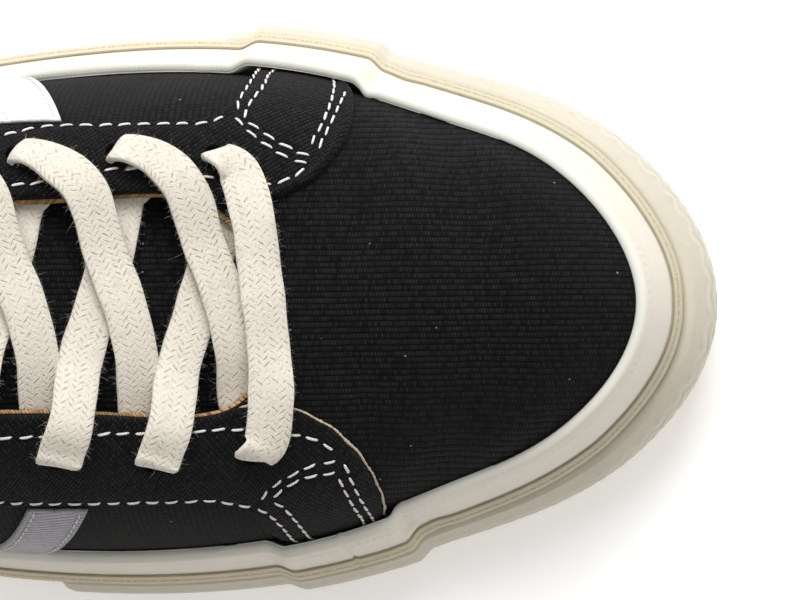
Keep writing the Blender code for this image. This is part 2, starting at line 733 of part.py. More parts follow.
def over_end(side, pair, lean):
    """Route from inside an eyelet, up and over the eyestay, to where the lace leaves the throat's edge."""
    station, share = eyelet_places(side)[pair]
    top = OVERLAY + 3 * GAP + LACE_THICK / 2
    hole = upper_skin(station, share)
    normal = skin_normal(station, share)
    leave = edge_station(side, hole[0] + lean)
    rim = lifted(leave, 0.985, top + 0.0006)
    toward = rim - hole
    toward -= normal * (toward @ normal)
    toward /= np.linalg.norm(toward)
    early = 0.45 if side == "medial" else 0.30
    way = station + (leave - station) * early
    climb = lifted(way, share + (0.985 - share) * 0.32, top + 0.0005)
    return [
        (hole - normal * 0.0006, -toward),
        (hole + normal * (top + 0.0007) + toward * 0.0009, normal * 0.8 - toward * 0.6),
        (climb, skin_normal(way, share)),
        (rim, skin_normal(leave, 0.985)),
    ]


def under_end(side, pair, lean):
    """Route from the throat's edge, under it, to the lace's hidden end."""
    station, share = eyelet_places(side)[pair]
    hole = upper_skin(station, share)
    leave = edge_station(side, hole[0] + lean)
    low = -(WALL + 2 * GAP + LACE_THICK / 2 + 0.0003)
    return [(lifted(leave, 0.985, low), skin_normal(leave, 0.985)), (lifted(leave, 0.93, low), skin_normal(leave, 0.93))]


def across_throat(start, end, heights, bow):
    """Route points between two places on the throat's edge, at heights above the straight line between them."""
    points = []
    for k, height in enumerate(heights):
        share = (k + 1) / (len(heights) + 1)
        point = start * (1 - share) + end * share
        point = point + np.array([bow * math.sin(math.pi * share), 0.0, height])
        points.append((point, np.array([0.37, 0.0, 0.93])))
    return points


def edge_near(side, pair, lean):
    """The throat's own edge where a lace crosses it."""
    station, share = eyelet_places(side)[pair]
    return edge_point(edge_station(side, upper_skin(station, share)[0] + lean))


def end_widths(side):
    """Widths of the lace over its first route points: drawn together in the eyelet."""
    if side == "medial":
        return [0.42 * LACE_WIDTH, 0.60 * LACE_WIDTH, 0.95 * LACE_WIDTH, LACE_WIDTH]
    return [0.42 * LACE_WIDTH, 0.80 * LACE_WIDTH, LACE_WIDTH, LACE_WIDTH]


def make_bar(finish, collection):
    """The straight bar over the first pair of eyelets."""
    ends = [over_end(side, 0, BAR_LEAN[side]) for side in ("medial", "lateral")]
    edges = [edge_near(side, 0, BAR_LEAN[side]) for side in ("medial", "lateral")]
    route = ends[0] + across_throat(*edges, BAR_DRAPE, 0.0) + ends[1][::-1]
    for k, shift in enumerate(BAR_SHIFT):
        point, facing = route[k + 2]
        route[k + 2] = (point + [shift, 0.0, 0.0], facing)
    widths = end_widths("medial") + [LACE_WIDTH] * len(BAR_DRAPE) + end_widths("lateral")[::-1]
    return lace_strap("lace_bar", route, widths, finish, collection)


def make_crossing(pair, finish, collection):
    """Two straps that leave a pair of eyelets, cross, and go under the throat's edges, joined where they cross."""
    straps = []
    for side, other in (("medial", "lateral"), ("lateral", "medial")):
        start = edge_near(side, pair, OVER_LEAN[side])
        end = edge_near(other, pair - 1, UNDER_LEAN[other])
        between = across_throat(start, end, OVER_DRAPE[side], LACE_BOW[side])
        route = over_end(side, pair, OVER_LEAN[side]) + between + under_end(other, pair - 1, UNDER_LEAN[other])
        widths = end_widths(side) + [LACE_WIDTH] * (len(route) - 4)
        straps.append(lace_strap(f"strap_{pair}_{side}", route, widths, finish, collection))
    over, under = straps
    under.hide_render = True
    under.display_type = "WIRE"
    joined = over.modifiers.new("Join", "BOOLEAN")
    joined.operation = "UNION"
    joined.object = under
    over.name = f"lace_cross_{pair}"
    return over


def main():
    for old in list(bpy.data.objects):
        bpy.data.objects.remove(old)
    parts = bpy.data.collections.new("skateboarding_shoe")
    cutters = bpy.data.collections.new("cutters")
    for collection in (parts, cutters):
        bpy.context.scene.collection.children.link(collection)

    canvas = material("black_canvas", (0.012, 0.013, 0.016), 0.92)
    facing = material("black_twill", (0.014, 0.015, 0.018), 0.90)
    rubber = material("cream_rubber", (0.83, 0.78, 0.66), 0.45)
    stripe = material("tan_rubber", (0.62, 0.53, 0.36), 0.50)
    tread = material("outsole_rubber", (0.80, 0.74, 0.60), 0.55)
    leather = material("white_leather", (0.82, 0.82, 0.84), 0.45)
    cotton = material("cream_cotton", (0.80, 0.74, 0.62), 0.95)
    sock = material("insole_cloth", (0.62, 0.56, 0.44), 0.90)

    outsole = make_outsole(tread, parts)
    cut(outsole, make_groove_cutter(cutters))
    upper = make_upper(canvas, parts)
    for side in ("lateral", "medial"):
        punch = make_eyelet_cutter(side, cutters)
        cut(upper, punch)
        cut(make_eyestay(side, facing, parts), punch)
        make_side_band(side, leather, parts)
    make_foxing(rubber, parts)
    make_stripe(stripe, parts)
    make_bumper(rubber, parts)
    make_counter(facing, parts)
    make_insole(sock, parts)
    make_tongue(canvas, parts)
    make_bar(cotton, parts)
    for pair in range(1, EYELET_PAIRS):
        make_crossing(pair, cotton, parts)


if __name__ == "__main__":
    main()
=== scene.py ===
"""Low skateboarding shoe: the cloth, rubber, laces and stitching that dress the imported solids.

Metres, +Z up, toe along +X, big-toe side +Y. Lengths below are worked out from the back of the
feather line, where the upper meets the sole, and moved to the part's frame at the end.
Stations run round the shoe: 0 at the heel, 12 at the toe on the lateral side, 24 back at the heel.
A share runs up the wall, 0 at the feather line and 1 at the edge of the collar and throat.
"""

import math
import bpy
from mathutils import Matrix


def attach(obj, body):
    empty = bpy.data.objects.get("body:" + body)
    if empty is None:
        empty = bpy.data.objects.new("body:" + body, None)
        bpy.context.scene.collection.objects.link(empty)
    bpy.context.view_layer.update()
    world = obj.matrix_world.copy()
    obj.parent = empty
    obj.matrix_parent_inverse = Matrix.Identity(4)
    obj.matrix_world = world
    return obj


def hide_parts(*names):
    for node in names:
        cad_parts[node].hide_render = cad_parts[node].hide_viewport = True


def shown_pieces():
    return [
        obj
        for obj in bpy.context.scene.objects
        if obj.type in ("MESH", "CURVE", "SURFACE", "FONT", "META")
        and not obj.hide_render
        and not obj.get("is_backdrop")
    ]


bl_info = {
    "name": "Skateboarding Shoe",
    "version": (1, 0, 0),
    "blender": (4, 5, 0),
    "location": "3D View > Sidebar > Shoe",
    "description": "Builds a low canvas skateboarding shoe piece by piece",
    "category": "Add Mesh",
}

import bmesh
import bpy
import numpy as np
from mathutils import Matrix, Vector

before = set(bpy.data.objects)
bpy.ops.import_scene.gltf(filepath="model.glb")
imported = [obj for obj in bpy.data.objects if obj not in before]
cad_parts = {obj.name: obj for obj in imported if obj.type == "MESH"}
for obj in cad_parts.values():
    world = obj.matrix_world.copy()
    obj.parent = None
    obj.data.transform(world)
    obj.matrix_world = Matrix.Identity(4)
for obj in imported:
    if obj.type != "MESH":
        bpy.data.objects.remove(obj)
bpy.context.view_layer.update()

# Sizes shared with the part's source
LAST_LENGTH = 0.2725
BALL_WIDTH = 0.0920
INSTEP_HEIGHT = 0.0865
HEEL_SOLE = 0.0170
BALL_SOLE = 0.0120
TOE_SPRING = 0.0090
THROAT_TURN = 0.118
GAP = 0.0003
WALL = 0.0020
COLLAR_PAD = 0.0055
OVERLAY = 0.0012
TONGUE_THICK = 0.0040
INSOLE_THICK = 0.0040
EYELET_RADIUS = 0.0027
FOXING_HEEL = 0.0300
FOXING_SIDE = 0.0265
FOXING_TOE = 0.0300
FOXING_LIP = 0.0027
OUTSOLE_EDGE = 0.0032
STRIPE_TALL = 0.0028
STRIPE_THICK = 0.0011
STRIPE_LEVEL = 0.0145
BUMPER_TAIL_MEDIAL = 8.10
BUMPER_TAIL_LATERAL = 6.82
GROOVE_DEPTH = 0.0016
GROOVE_WIDTH = 0.0022
GROOVE_PITCH = 0.0300
LACE_THICK = 0.0019
BAND_SHEET = 0.0009
OVER_DRAPE = {"medial": (0.0013, 0.0009, -0.0004), "lateral": (0.0000, -0.0012, -0.0020)}
BAR_DRAPE = (0.0031, 0.0035, 0.0029)
EYELET_PAIRS = 5
EYELET_PITCH = 0.0175
EYELET_START = {"lateral": 0.0022, "medial": 0.0086}
EYELET_INSET = 0.0105
OVER_LEAN = {"lateral": 0.0026, "medial": 0.0118}
UNDER_LEAN = {"lateral": -0.0015, "medial": 0.0020}
BAR_LEAN = {"lateral": 0.0045, "medial": 0.0083}
LACE_BOW = {"lateral": 0.0000, "medial": 0.0029}
BAR_SHIFT = (-0.0010, 0.0024, 0.0042, 0.0042, 0.0039, 0.0018, 0.0003)
EYESTAY_COVER = 0.0018
SIDE_BAND_WIDTH = 0.0105
BAND_SHIFT = {"lateral": 0.03, "medial": -0.10}
TONGUE_ARCH = 0.0046
TONGUE_ARCH_HALF = 0.0200
LACE_AROUND = 40
HALF = 12
AROUND = 24
SIDES = ("lateral", "medial")
SMALL = 1e-3

SECTION_COLUMNS = (
    "foot_x", "lateral", "medial", "edge_x", "edge_half", "edge_z",
    "turn", "rise", "swell", "run", "drop",
)
# Lengths along the shoe are shares of LAST_LENGTH, across it of BALL_WIDTH, and up it of INSTEP_HEIGHT.
SECTIONS = np.array([
    (0.000, 0.000, 0.000, 0.018, 0.000, 0.890, 0.0, 0.277, 0.038, 0.00, 0.254),
    (0.020, 0.172, 0.185, 0.033, 0.147, 0.884, 0.0, 0.277, 0.038, 0.00, 0.254),
    (0.078, 0.304, 0.317, 0.081, 0.250, 0.827, 0.0, 0.254, 0.038, 0.05, 0.231),
    (0.180, 0.350, 0.354, 0.169, 0.304, 0.734, 0.0, 0.208, 0.038, 0.10, 0.185),
    (0.287, 0.379, 0.371, 0.272, 0.315, 0.751, 0.0, 0.208, 0.038, 0.20, 0.173),
    (0.386, 0.423, 0.403, 0.360, 0.288, 0.925, 0.3, 0.277, 0.039, 0.35, 0.162),
    (0.481, 0.472, 0.450, 0.411, 0.228, 1.017, 1.0, 0.324, 0.038, 0.50, 0.127),
    (0.576, 0.502, 0.487, 0.514, 0.215, 0.890, 1.0, 0.324, 0.036, 0.55, 0.104),
    (0.671, 0.502, 0.498, 0.609, 0.217, 0.769, 1.0, 0.301, 0.030, 0.58, 0.069),
    (0.766, 0.462, 0.466, 0.686, 0.223, 0.676, 1.0, 0.277, 0.024, 0.58, 0.058),
    (0.861, 0.3745, 0.388, 0.721, 0.158, 0.647, 1.0, 0.254, 0.020, 0.55, 0.058),
    (0.944, 0.250, 0.2655, 0.728, 0.076, 0.653, 1.0, 0.290, 0.050, 0.54, 0.058),
    (1.000, 0.000, 0.000, 0.730, 0.000, 0.659, 1.0, 0.318, 0.049, 0.55, 0.058),
])
COLUMN = {name: SECTIONS[:, k] for k, name in enumerate(SECTION_COLUMNS)}

# Rubber at the sole's edge: station from the heel, foxing's reach, and the bumper's beyond it.
RUBBER_ROWS = np.array([
    (0.0, 0.0054, 0.0036), (6.5, 0.0060, 0.0036), (9.3, 0.0060, 0.0036), (9.7, 0.0053, 0.0042),
    (10.2, 0.0052, 0.0048), (11.0, 0.0048, 0.0060), (11.5, 0.0036, 0.0070), (12.0, 0.0027, 0.0076),
])
# Eyestay outline: inner station and share, outer station and share, the lateral one's shift toewards,
# and the rise of the medial one's outer edge.
EYESTAY_ROWS = np.array([
    (5.55, 1.00, 5.45, 0.720, 0.00, 0.035), (6.20, 1.00, 6.15, 0.655, 0.00, 0.055),
    (7.00, 1.00, 7.00, 0.610, 0.00, 0.075), (7.80, 1.00, 7.75, 0.605, 0.00, 0.070),
    (8.60, 1.00, 8.32, 0.600, 0.00, 0.070), (9.30, 1.00, 8.58, 0.572, 0.00, 0.070),
    (9.80, 0.93, 8.64, 0.510, 0.00, 0.050), (9.94, 0.80, 8.63, 0.430, 0.00, 0.020),
    (9.79, 0.66, 8.58, 0.340, 0.05, 0.000), (9.54, 0.48, 8.53, 0.250, 0.10, 0.000),
    (9.28, 0.28, 8.48, 0.180, 0.17, 0.000), (9.11, 0.13, 8.43, 0.130, 0.22, 0.000),
])
# Heel counter's and side bands' rear edges: station and share.
COUNTER_ROWS = np.array([(2.85, 0.13), (2.70, 0.27), (2.30, 0.45), (1.75, 0.62), (1.25, 0.78)])
BAND_ROWS = np.array([(6.43, 0.178), (6.77, 0.38)])
BAND_TOP = {"lateral": (7.10, 0.583), "medial": (7.23, 0.655)}
BAND_STATIONS = SIDE_BAND_WIDTH / (0.0922 * LAST_LENGTH)
# Tongue's centre line: share of LAST_LENGTH, of INSTEP_HEIGHT, and half width of BALL_WIDTH.
TONGUE_ROWS = np.array([
    (0.762, 0.590, 0.185), (0.690, 0.624, 0.225), (0.609, 0.735, 0.250), (0.514, 0.857, 0.255),
    (0.411, 0.985, 0.235), (0.352, 1.088, 0.222), (0.315, 1.200, 0.270),
])

# Creases of the worn cloth: three control points as station and share, width, and depth below the skin.
CREASES = np.array([
    (9.80, 0.24, 12.0, 1.02, 14.20, 0.24, 0.0060, 0.0008),
    (10.1, 0.20, 12.0, 0.78, 13.90, 0.20, 0.0070, -0.0005),
    (9.95, 0.62, 10.7, 0.80, 11.60, 0.88, 0.0032, 0.0005),
    (14.0, 0.60, 13.3, 0.80, 12.40, 0.88, 0.0032, 0.0004),
    (9.75, 0.40, 10.2, 0.58, 10.90, 0.72, 0.0040, -0.0004),
    (14.2, 0.40, 13.8, 0.58, 13.10, 0.72, 0.0040, -0.0004),
    (4.20, 0.66, 4.90, 0.50, 5.90, 0.30, 0.0042, 0.0008),
    (4.70, 0.68, 5.30, 0.54, 6.20, 0.34, 0.0040, -0.0005),
    (19.9, 0.64, 19.2, 0.48, 18.2, 0.30, 0.0042, 0.0008),
    (19.4, 0.66, 18.8, 0.52, 17.9, 0.34, 0.0040, -0.0005),
    (3.30, 0.36, 3.80, 0.44, 4.60, 0.42, 0.0036, 0.0005),
    (20.7, 0.36, 20.2, 0.44, 19.4, 0.42, 0.0036, 0.0005),
    (7.70, 0.24, 7.85, 0.38, 7.90, 0.56, 0.0030, 0.0004),
    (16.3, 0.24, 16.15, 0.38, 16.1, 0.56, 0.0030, 0.0004),
])

# Soft dents down the foxing: station, half width, depth, and where down the side they start and end.
FOXING_DENTS = np.array([
    (14.66, 0.0013, 0.0011, -0.20, 0.80), (14.50, 0.0030, 0.0004, 0.10, 1.10),
    (9.50, 0.0014, 0.0010, -0.20, 0.80), (9.66, 0.0030, 0.0004, 0.10, 1.10),
    (15.92, 0.0020, 0.0004, -0.20, 0.60), (8.24, 0.0020, 0.0004, -0.20, 0.60),
    (9.06, 0.0003, 0.0004, -0.40, 1.20), (2.9, 0.0025, 0.0003, -0.2, 0.9), (21.1, 0.0025, 0.0003, -0.2, 0.9),
])


def periodic_spline(values, place):
    """Closed cubic curve through values at whole numbers, its slopes solved so that its bend is even."""
    values = np.asarray(values, float)
    count = len(values)
    one = np.eye(count)
    system = 4 * one + np.roll(one, 1, 1) + np.roll(one, -1, 1)
    slope = np.linalg.solve(system, 3.0 * (np.roll(values, -1) - np.roll(values, 1)))
    place = np.mod(np.asarray(place, float), count)
    low = np.floor(place).astype(int) % count
    high = (low + 1) % count
    t = place - np.floor(place)
    start = (2 * t**3 - 3 * t**2 + 1) * values[low] + (t**3 - 2 * t**2 + t) * slope[low]
    end = (3 * t**2 - 2 * t**3) * values[high] + (t**3 - t**2) * slope[high]
    return start + end


def open_spline(rows, share):
    """Curve through the rows, each stretch a cubic of its four nearest rows, read at shares from 0 to 1."""
    rows = np.asarray(rows, float)
    last = len(rows) - 1
    place = np.clip(np.asarray(share, float), 0, 1) * last
    low = np.minimum(np.floor(place).astype(int), last - 1)
    t = (place - low)[..., None]
    padded = np.vstack([2 * rows[0] - rows[1], rows, 2 * rows[-1] - rows[-2]])
    a, b, c, d = (padded[low + k] for k in range(4))
    return 0.5 * (2 * b + (c - a) * t + (2 * a - 5 * b + 4 * c - d) * t**2 + (3 * b - a - 3 * c + d) * t**3)


def round_ring(name, station, opposite=None):
    """A column read round the shoe. With opposite it is a width: lateral negative, medial positive."""
    lateral = COLUMN[name]
    medial = lateral if opposite is None else COLUMN[opposite]
    sign = 1.0 if opposite is None else -1.0
    return periodic_spline(np.concatenate([sign * lateral[:-1], medial[:0:-1]]), station)


def smooth_step(value, low, high):
    """0 below low, 1 above high, and three squares less two cubes of the share between."""
    t = np.clip((np.asarray(value, float) - low) / (high - low), 0, 1)
    return t * t * (3 - 2 * t)


def rise_and_fall(value, low, high, start, end):
    """A smooth step up from low to high times one down from start to end."""
    return smooth_step(value, low, high) * (1 - smooth_step(value, start, end))


def station_from_heel(station):
    """Stations counted from the heel along either side, from 0 to 12."""
    station = np.mod(station, AROUND)
    return np.minimum(station, AROUND - station)


def is_medial(station):
    """Whether a station lies on the big-toe side, past the toe."""
    return np.mod(station, AROUND) > HALF


def sole_bottom(x):
    """Height of the tread at x: flat, then a parabola up to the toe."""
    start = 0.730 * LAST_LENGTH
    return TOE_SPRING * np.clip((x - start) / (LAST_LENGTH - start), 0, None) ** 2


def sole_top(x):
    """Height of the sole's top at x: the heel's thickness eased into the ball's, above the tread."""
    to_ball = smooth_step(x, 0.30 * LAST_LENGTH, 0.58 * LAST_LENGTH)
    return HEEL_SOLE + (BALL_SOLE - HEEL_SOLE) * to_ball + sole_bottom(x)


def foxing_top(x):
    """Height of the foxing's lip at x: straight lines between heights, above the tread."""
    shares = np.array([0.0, 0.20, 0.45, 0.78, 0.90, 1.0]) * LAST_LENGTH
    mix = (FOXING_TOE + FOXING_SIDE) / 2
    heights = [FOXING_HEEL, FOXING_SIDE + 0.001, FOXING_SIDE, FOXING_SIDE, mix, FOXING_TOE]
    return np.interp(x, shares, heights) + sole_bottom(x)


def feather(station):
    """Plan points of the feather line."""
    x = LAST_LENGTH * round_ring("foot_x", station)
    y = BALL_WIDTH * round_ring("lateral", station, "medial")
    return np.stack([x, y], -1)


def outward(station):
    """Plan direction square to the feather line: its tangent turned a quarter."""
    station = np.asarray(station, float)
    along = feather(station + SMALL) - feather(station - SMALL)
    along /= np.linalg.norm(along, axis=-1, keepdims=True)
    return np.stack([along[..., 1], -along[..., 0]], -1)


def edge_point(station):
    """The collar and throat edge, turned about the throat's own axis along the laces."""
    x = LAST_LENGTH * round_ring("edge_x", station)
    y = BALL_WIDTH * round_ring("edge_half", station, "edge_half")
    x = x - THROAT_TURN * round_ring("turn", station) * y
    return np.stack([x, y, INSTEP_HEIGHT * round_ring("edge_z", station)], -1)


def upper_skin(station, up):
    """Outer face of the upper: a cubic Bezier from the feather line to the edge, at share up."""
    station, up = np.broadcast_arrays(np.asarray(station, float), np.asarray(up, float))
    foot = feather(station)
    away = outward(station)
    swell = BALL_WIDTH * round_ring("swell", station)
    run = round_ring("run", station)
    p0 = np.stack([foot[..., 0], foot[..., 1], sole_top(foot[..., 0]) + GAP], -1)
    rise = INSTEP_HEIGHT * round_ring("rise", station)
    p1 = p0 + np.stack([away[..., 0] * swell, away[..., 1] * swell, rise], -1)
    p3 = edge_point(station)
    lean = 0.8 * swell * np.clip(1 - 1.6 * run, 0, None)
    p2 = p3 + np.stack([
        (p0[..., 0] - p3[..., 0]) * run + away[..., 0] * lean,
        (p0[..., 1] - p3[..., 1]) * run + away[..., 1] * lean,
        -INSTEP_HEIGHT * round_ring("drop", station),
    ], -1)
    t = up[..., None]
    return (1 - t) ** 3 * p0 + 3 * (1 - t) ** 2 * t * p1 + 3 * (1 - t) * t**2 * p2 + t**3 * p3


def skin_normal(station, up):
    """Unit normal of the upper's outer face: steps round it crossed with steps up it."""
    station, up = np.broadcast_arrays(np.asarray(station, float), np.asarray(up, float))
    around = upper_skin(station + SMALL, up) - upper_skin(station - SMALL, up)
    rising = upper_skin(station, np.minimum(up + SMALL, 1)) - upper_skin(station, np.maximum(up - SMALL, 0))
    normal = np.cross(around, rising)
    return normal / np.linalg.norm(normal, axis=-1, keepdims=True)


def lifted(station, up, lift):
    """A point at the given distance outside the upper's outer face; negative is inside."""
    return upper_skin(station, up) + skin_normal(station, up) * np.asarray(lift)[..., None]


SKIN_SHARES = np.linspace(0, 1, 61)
SKIN_STATIONS = np.linspace(0, AROUND, 241)
SKIN_TABLE = upper_skin(SKIN_STATIONS[:, None], SKIN_SHARES)
SKIN_STEPS = np.linalg.norm(np.diff(SKIN_TABLE, axis=1), axis=2)
GIRTH_TABLE = np.concatenate([np.zeros((241, 1)), np.cumsum(SKIN_STEPS, axis=1)], axis=1)


def read_table(table, station, share):
    """A table over stations and shares, read between its points in proportion."""
    rows, columns = table.shape[0] - 1, table.shape[1] - 1
    row = np.mod(station, AROUND) * (rows / AROUND)
    column = np.clip(share, 0, 1) * columns
    i, k = np.minimum(row.astype(int), rows - 1), np.minimum(column.astype(int), columns - 1)
    a, b = row - i, column - k
    near = table[i, k] * (1 - b) + table[i, k + 1] * b
    far = table[i + 1, k] * (1 - b) + table[i + 1, k + 1] * b
    return near * (1 - a) + far * a


def share_at_height(station, z):
    """Share up the wall where the outer face is at height z, between the two points round that height."""
    shares = np.linspace(0, 0.7, 57)
    walls = upper_skin(np.asarray(station)[..., None], shares)[..., 2]
    after = np.clip((walls < np.asarray(z)[..., None]).sum(-1), 1, 56)
    low = np.take_along_axis(walls, (after - 1)[..., None], -1)[..., 0]
    high = np.take_along_axis(walls, after[..., None], -1)[..., 0]
    return shares[after - 1] + (shares[1] - shares[0]) * np.clip((z - low) / (high - low), 0, 1)


def skin_at_height(station, z):
    """Plan point of the upper's outer face at height z."""
    return upper_skin(station, share_at_height(station, z))[..., :2]


def foxing_share(station):
    """Share up the wall that the foxing reaches."""
    return share_at_height(station, foxing_top(feather(station)[..., 0]))


def overlay_cover(station):
    """How far the foxing is pushed out by the eyestay's foot and the heel counter under it."""
    from_heel = station_from_heel(station)
    late = np.where(is_medial(station), 0.0, 0.22)
    eyestay = rise_and_fall(from_heel - late, 8.27, 8.42, 9.20, 9.34)
    counter = 1 - smooth_step(from_heel, 2.98, 3.30)
    return EYESTAY_COVER * np.maximum(eyestay, counter)


def foxing_spread(station):
    """Reach of the foxing's base from the feather line, with most of the overlay under it."""
    reach = np.interp(station_from_heel(station), RUBBER_ROWS[:, 0], RUBBER_ROWS[:, 1])
    return reach + 0.95 * overlay_cover(station)


def bumper_depth(station):
    """How far the toe strip stands out from the foxing: straight lines between the rows."""
    return np.interp(station_from_heel(station), RUBBER_ROWS[:, 0], RUBBER_ROWS[:, 2])


def has_bumper(station):
    """Whether a station lies ahead of the toe strip's tails."""
    tail = np.where(is_medial(station), BUMPER_TAIL_MEDIAL, BUMPER_TAIL_LATERAL)
    return station_from_heel(station) >= tail


def rubber_side(station, z):
    """Plan point of the foxing's outer face at height z: a straight slope from its lip to its base."""
    foot = feather(station)
    away = outward(station)
    top = foxing_top(foot[..., 0])
    bend = sole_bottom(foot[..., 0]) + STRIPE_LEVEL + STRIPE_TALL
    lip = skin_at_height(station, top) + away * (GAP + FOXING_LIP + overlay_cover(station))[..., None]
    base = foot + away * foxing_spread(station)[..., None]
    slope = np.clip((top - z) / (top - bend), 0, 1)[..., None]
    return lip * (1 - slope) + base * slope


def outer_limits():
    """Lowest and highest x and y of the rubber at the sole's edge."""
    stations = np.linspace(0, AROUND, 961)
    beyond = np.where(has_bumper(stations), GAP + bumper_depth(stations), GAP + STRIPE_THICK)
    line = feather(stations) + outward(stations) * (foxing_spread(stations) + beyond)[:, None]
    return line.min(0), line.max(0)


LOW_LIMIT, HIGH_LIMIT = outer_limits()
FRAME_X, FRAME_Y = (LOW_LIMIT + HIGH_LIMIT) / 2


def to_frame(points):
    """From feather-heel coordinates to the part's frame."""
    points = np.array(points, float)
    points[..., 0] -= FRAME_X
    points[..., 1] -= FRAME_Y
    return points


def crease_relief(station, share):
    """Depth of the creases: each one's depth times a bell of the distance to its quadratic curve."""
    place = upper_skin(station, share)
    t = np.linspace(0, 1, 25)
    fade = np.sin(math.pi * np.clip(t, 0.04, 0.96)) ** 0.6
    total = np.zeros(place.shape[:-1])
    for row in CREASES:
        one, two, three, width, depth = row[0:2], row[2:4], row[4:6], row[6], row[7]
        path = np.outer((1 - t) ** 2, one) + np.outer(2 * t * (1 - t), two) + np.outer(t**2, three)
        spine = upper_skin(path[:, 0], path[:, 1])
        apart = np.linalg.norm(place[..., None, :] - spine, axis=-1)
        nearest = apart.argmin(-1)
        distance = np.take_along_axis(apart, nearest[..., None], -1)[..., 0]
        total -= depth * fade[nearest] * np.exp(-((distance / width) ** 2))
    x, y, z = place[..., 0], place[..., 1], place[..., 2]
    total += 0.00010 * (np.sin(190 * x + 60 * y + 1.3) + np.sin(140 * y - 90 * z + 0.4) * np.sin(110 * x))
    return total


FOXING_SHARES = foxing_share(SKIN_STATIONS)
CREASE_TABLE = crease_relief(np.linspace(0, AROUND, 481)[:, None], np.linspace(0, 1, 121)[None, :])


def soft_lift(station, share):
    """Creases, faded out above the foxing and at the edge, with the scene's own crease depth."""
    station, share = np.broadcast_arrays(np.asarray(station, float), np.asarray(share, float))
    depth = bpy.context.scene.shoe_sizes.crease_depth
    under = np.interp(np.mod(station, AROUND), SKIN_STATIONS, FOXING_SHARES)
    fade = smooth_step(share - under, 0.01, 0.12) * (1 - smooth_step(share, 0.93, 1.0))
    return depth * read_table(CREASE_TABLE, station, share) * fade


def on_upper(station, share, lift):
    """A point on the creased upper, at the given distance outside it."""
    return lifted(station, share, np.asarray(lift) + soft_lift(station, share))


def side_stations(side, rows):
    """Stations of a side for rows counted from the heel."""
    return rows if side == "lateral" else AROUND - rows


# Meshes


def quad_corners(rows, columns, closed_rows):
    """Row and column of each corner of the quads of a grid whose columns come round."""
    i = np.arange(rows if closed_rows else rows - 1)[:, None]
    k = np.arange(columns)[None, :]
    i, k = (a.ravel() for a in np.broadcast_arrays(i, k))
    return np.stack([i, i + 1, i + 1, i], -1), np.stack([k, k, k + 1, k + 1], -1)


def open_quads(rows, around):
    """Quads of rings joined row to row, with each end filled between facing points of its ring."""
    r, c = quad_corners(rows, around, False)
    k = np.arange(around // 2 - 1)
    first = np.stack([k, k + 1, around - 2 - k, around - 1 - k], -1)
    last = first[:, ::-1] + (rows - 1) * around
    return np.concatenate([r * around + c % around, first, last])


def signed_volume(points, quads):
    """Sum over the quads' two triangles of a sixth of the triple product of their corners."""
    a, b, c, d = (points[quads[:, k]] for k in range(4))
    return (np.einsum("ij,ij->i", a, np.cross(b, c)) + np.einsum("ij,ij->i", a, np.cross(c, d))).sum() / 6


def fill_mesh(name, points, corners, starts):
    """A smooth mesh from its points, its faces' corners in one list, and where in it each face starts."""
    mesh = bpy.data.meshes.new(name)
    mesh.vertices.add(len(points))
    mesh.vertices.foreach_set("co", np.ascontiguousarray(points, np.float32).ravel())
    mesh.loops.add(len(corners))
    mesh.loops.foreach_set("vertex_index", np.ascontiguousarray(corners, np.int32))
    mesh.polygons.add(len(starts))
    mesh.polygons.foreach_set("loop_start", np.ascontiguousarray(starts, np.int32))
    mesh.polygons.foreach_set("use_smooth", np.ones(len(starts), bool))
    return mesh


def mesh_from(name, points, quads, uv, **values):
    """A mesh of quads facing out, with a UV map read per corner and named values per point."""
    if signed_volume(points, quads) < 0:
        quads, uv = quads[:, ::-1], uv[:, ::-1]
    mesh = fill_mesh(name, points, quads.ravel(), np.arange(0, quads.size, 4))
    layer = mesh.uv_layers.new(name="Cloth")
    layer.data.foreach_set("uv", np.ascontiguousarray(uv, np.float32).ravel())
    for key, column in values.items():
        attribute = mesh.attributes.new(key, "FLOAT", "POINT")
        attribute.data.foreach_set("value", np.ascontiguousarray(column, np.float32).ravel())
    mesh.update(calc_edges=True)
    return mesh


def carried_mesh(name, rings, closed_rows, uv, **values):
    """A skin of closed rings joined row to row; open rows have their ends filled.

    Where the rows come round, uv holds one more row than rings, or is a function of row and column."""
    rows, around = rings.shape[:2]
    if closed_rows:
        r, c = quad_corners(rows, around, True)
        quads = (r % rows) * around + c % around
        corner_uv = uv(r, c % around) if callable(uv) else uv[r, c % around]
    else:
        quads = open_quads(rows, around)
        corner_uv = uv.reshape(-1, 2)[quads]
    values = {key: np.broadcast_to(each, (rows, around)) for key, each in values.items()}
    return mesh_from(name, to_frame(rings).reshape(-1, 3), quads, corner_uv, **values)


def rings_between(over, under):
    """Rings that run over one grid's columns and back under the other's."""
    return np.concatenate([over, under[:, ::-1]], axis=1)


def piece(mesh, finish, slot, *replaced):
    """An object of the mesh that rides on the shoe, with its finish and the node that it stands for."""
    made = bpy.data.objects.new(mesh.name, mesh)
    bpy.context.scene.collection.objects.link(made)
    made.data.materials.append(finishes()[finish])
    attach(made, "root")
    if replaced:
        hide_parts(*replaced)
    return made


def ring_angles(count):
    """Even angles round a ring."""
    return np.linspace(0, 2 * math.pi, count, endpoint=False)


def ring_points(centre, across, up, wide, tall):
    """Rings of points about a line, out from it along two directions."""
    return centre[..., None, :] + across[..., None, :] * wide[..., None] + up[..., None, :] * tall[..., None]


def grid_map(along, across):
    """A map of a grid from its rows' and its columns' own values, or from a value for each point."""
    return np.stack(np.broadcast_arrays(np.asarray(along)[:, None], across), -1)


def fine(count, dense):
    """Shares from 0 to 1, closer together towards both ends: a line mixed with half a cosine."""
    t = np.linspace(0, 1, count)
    return (1 - dense) * t + dense * (0.5 - 0.5 * np.cos(math.pi * t))


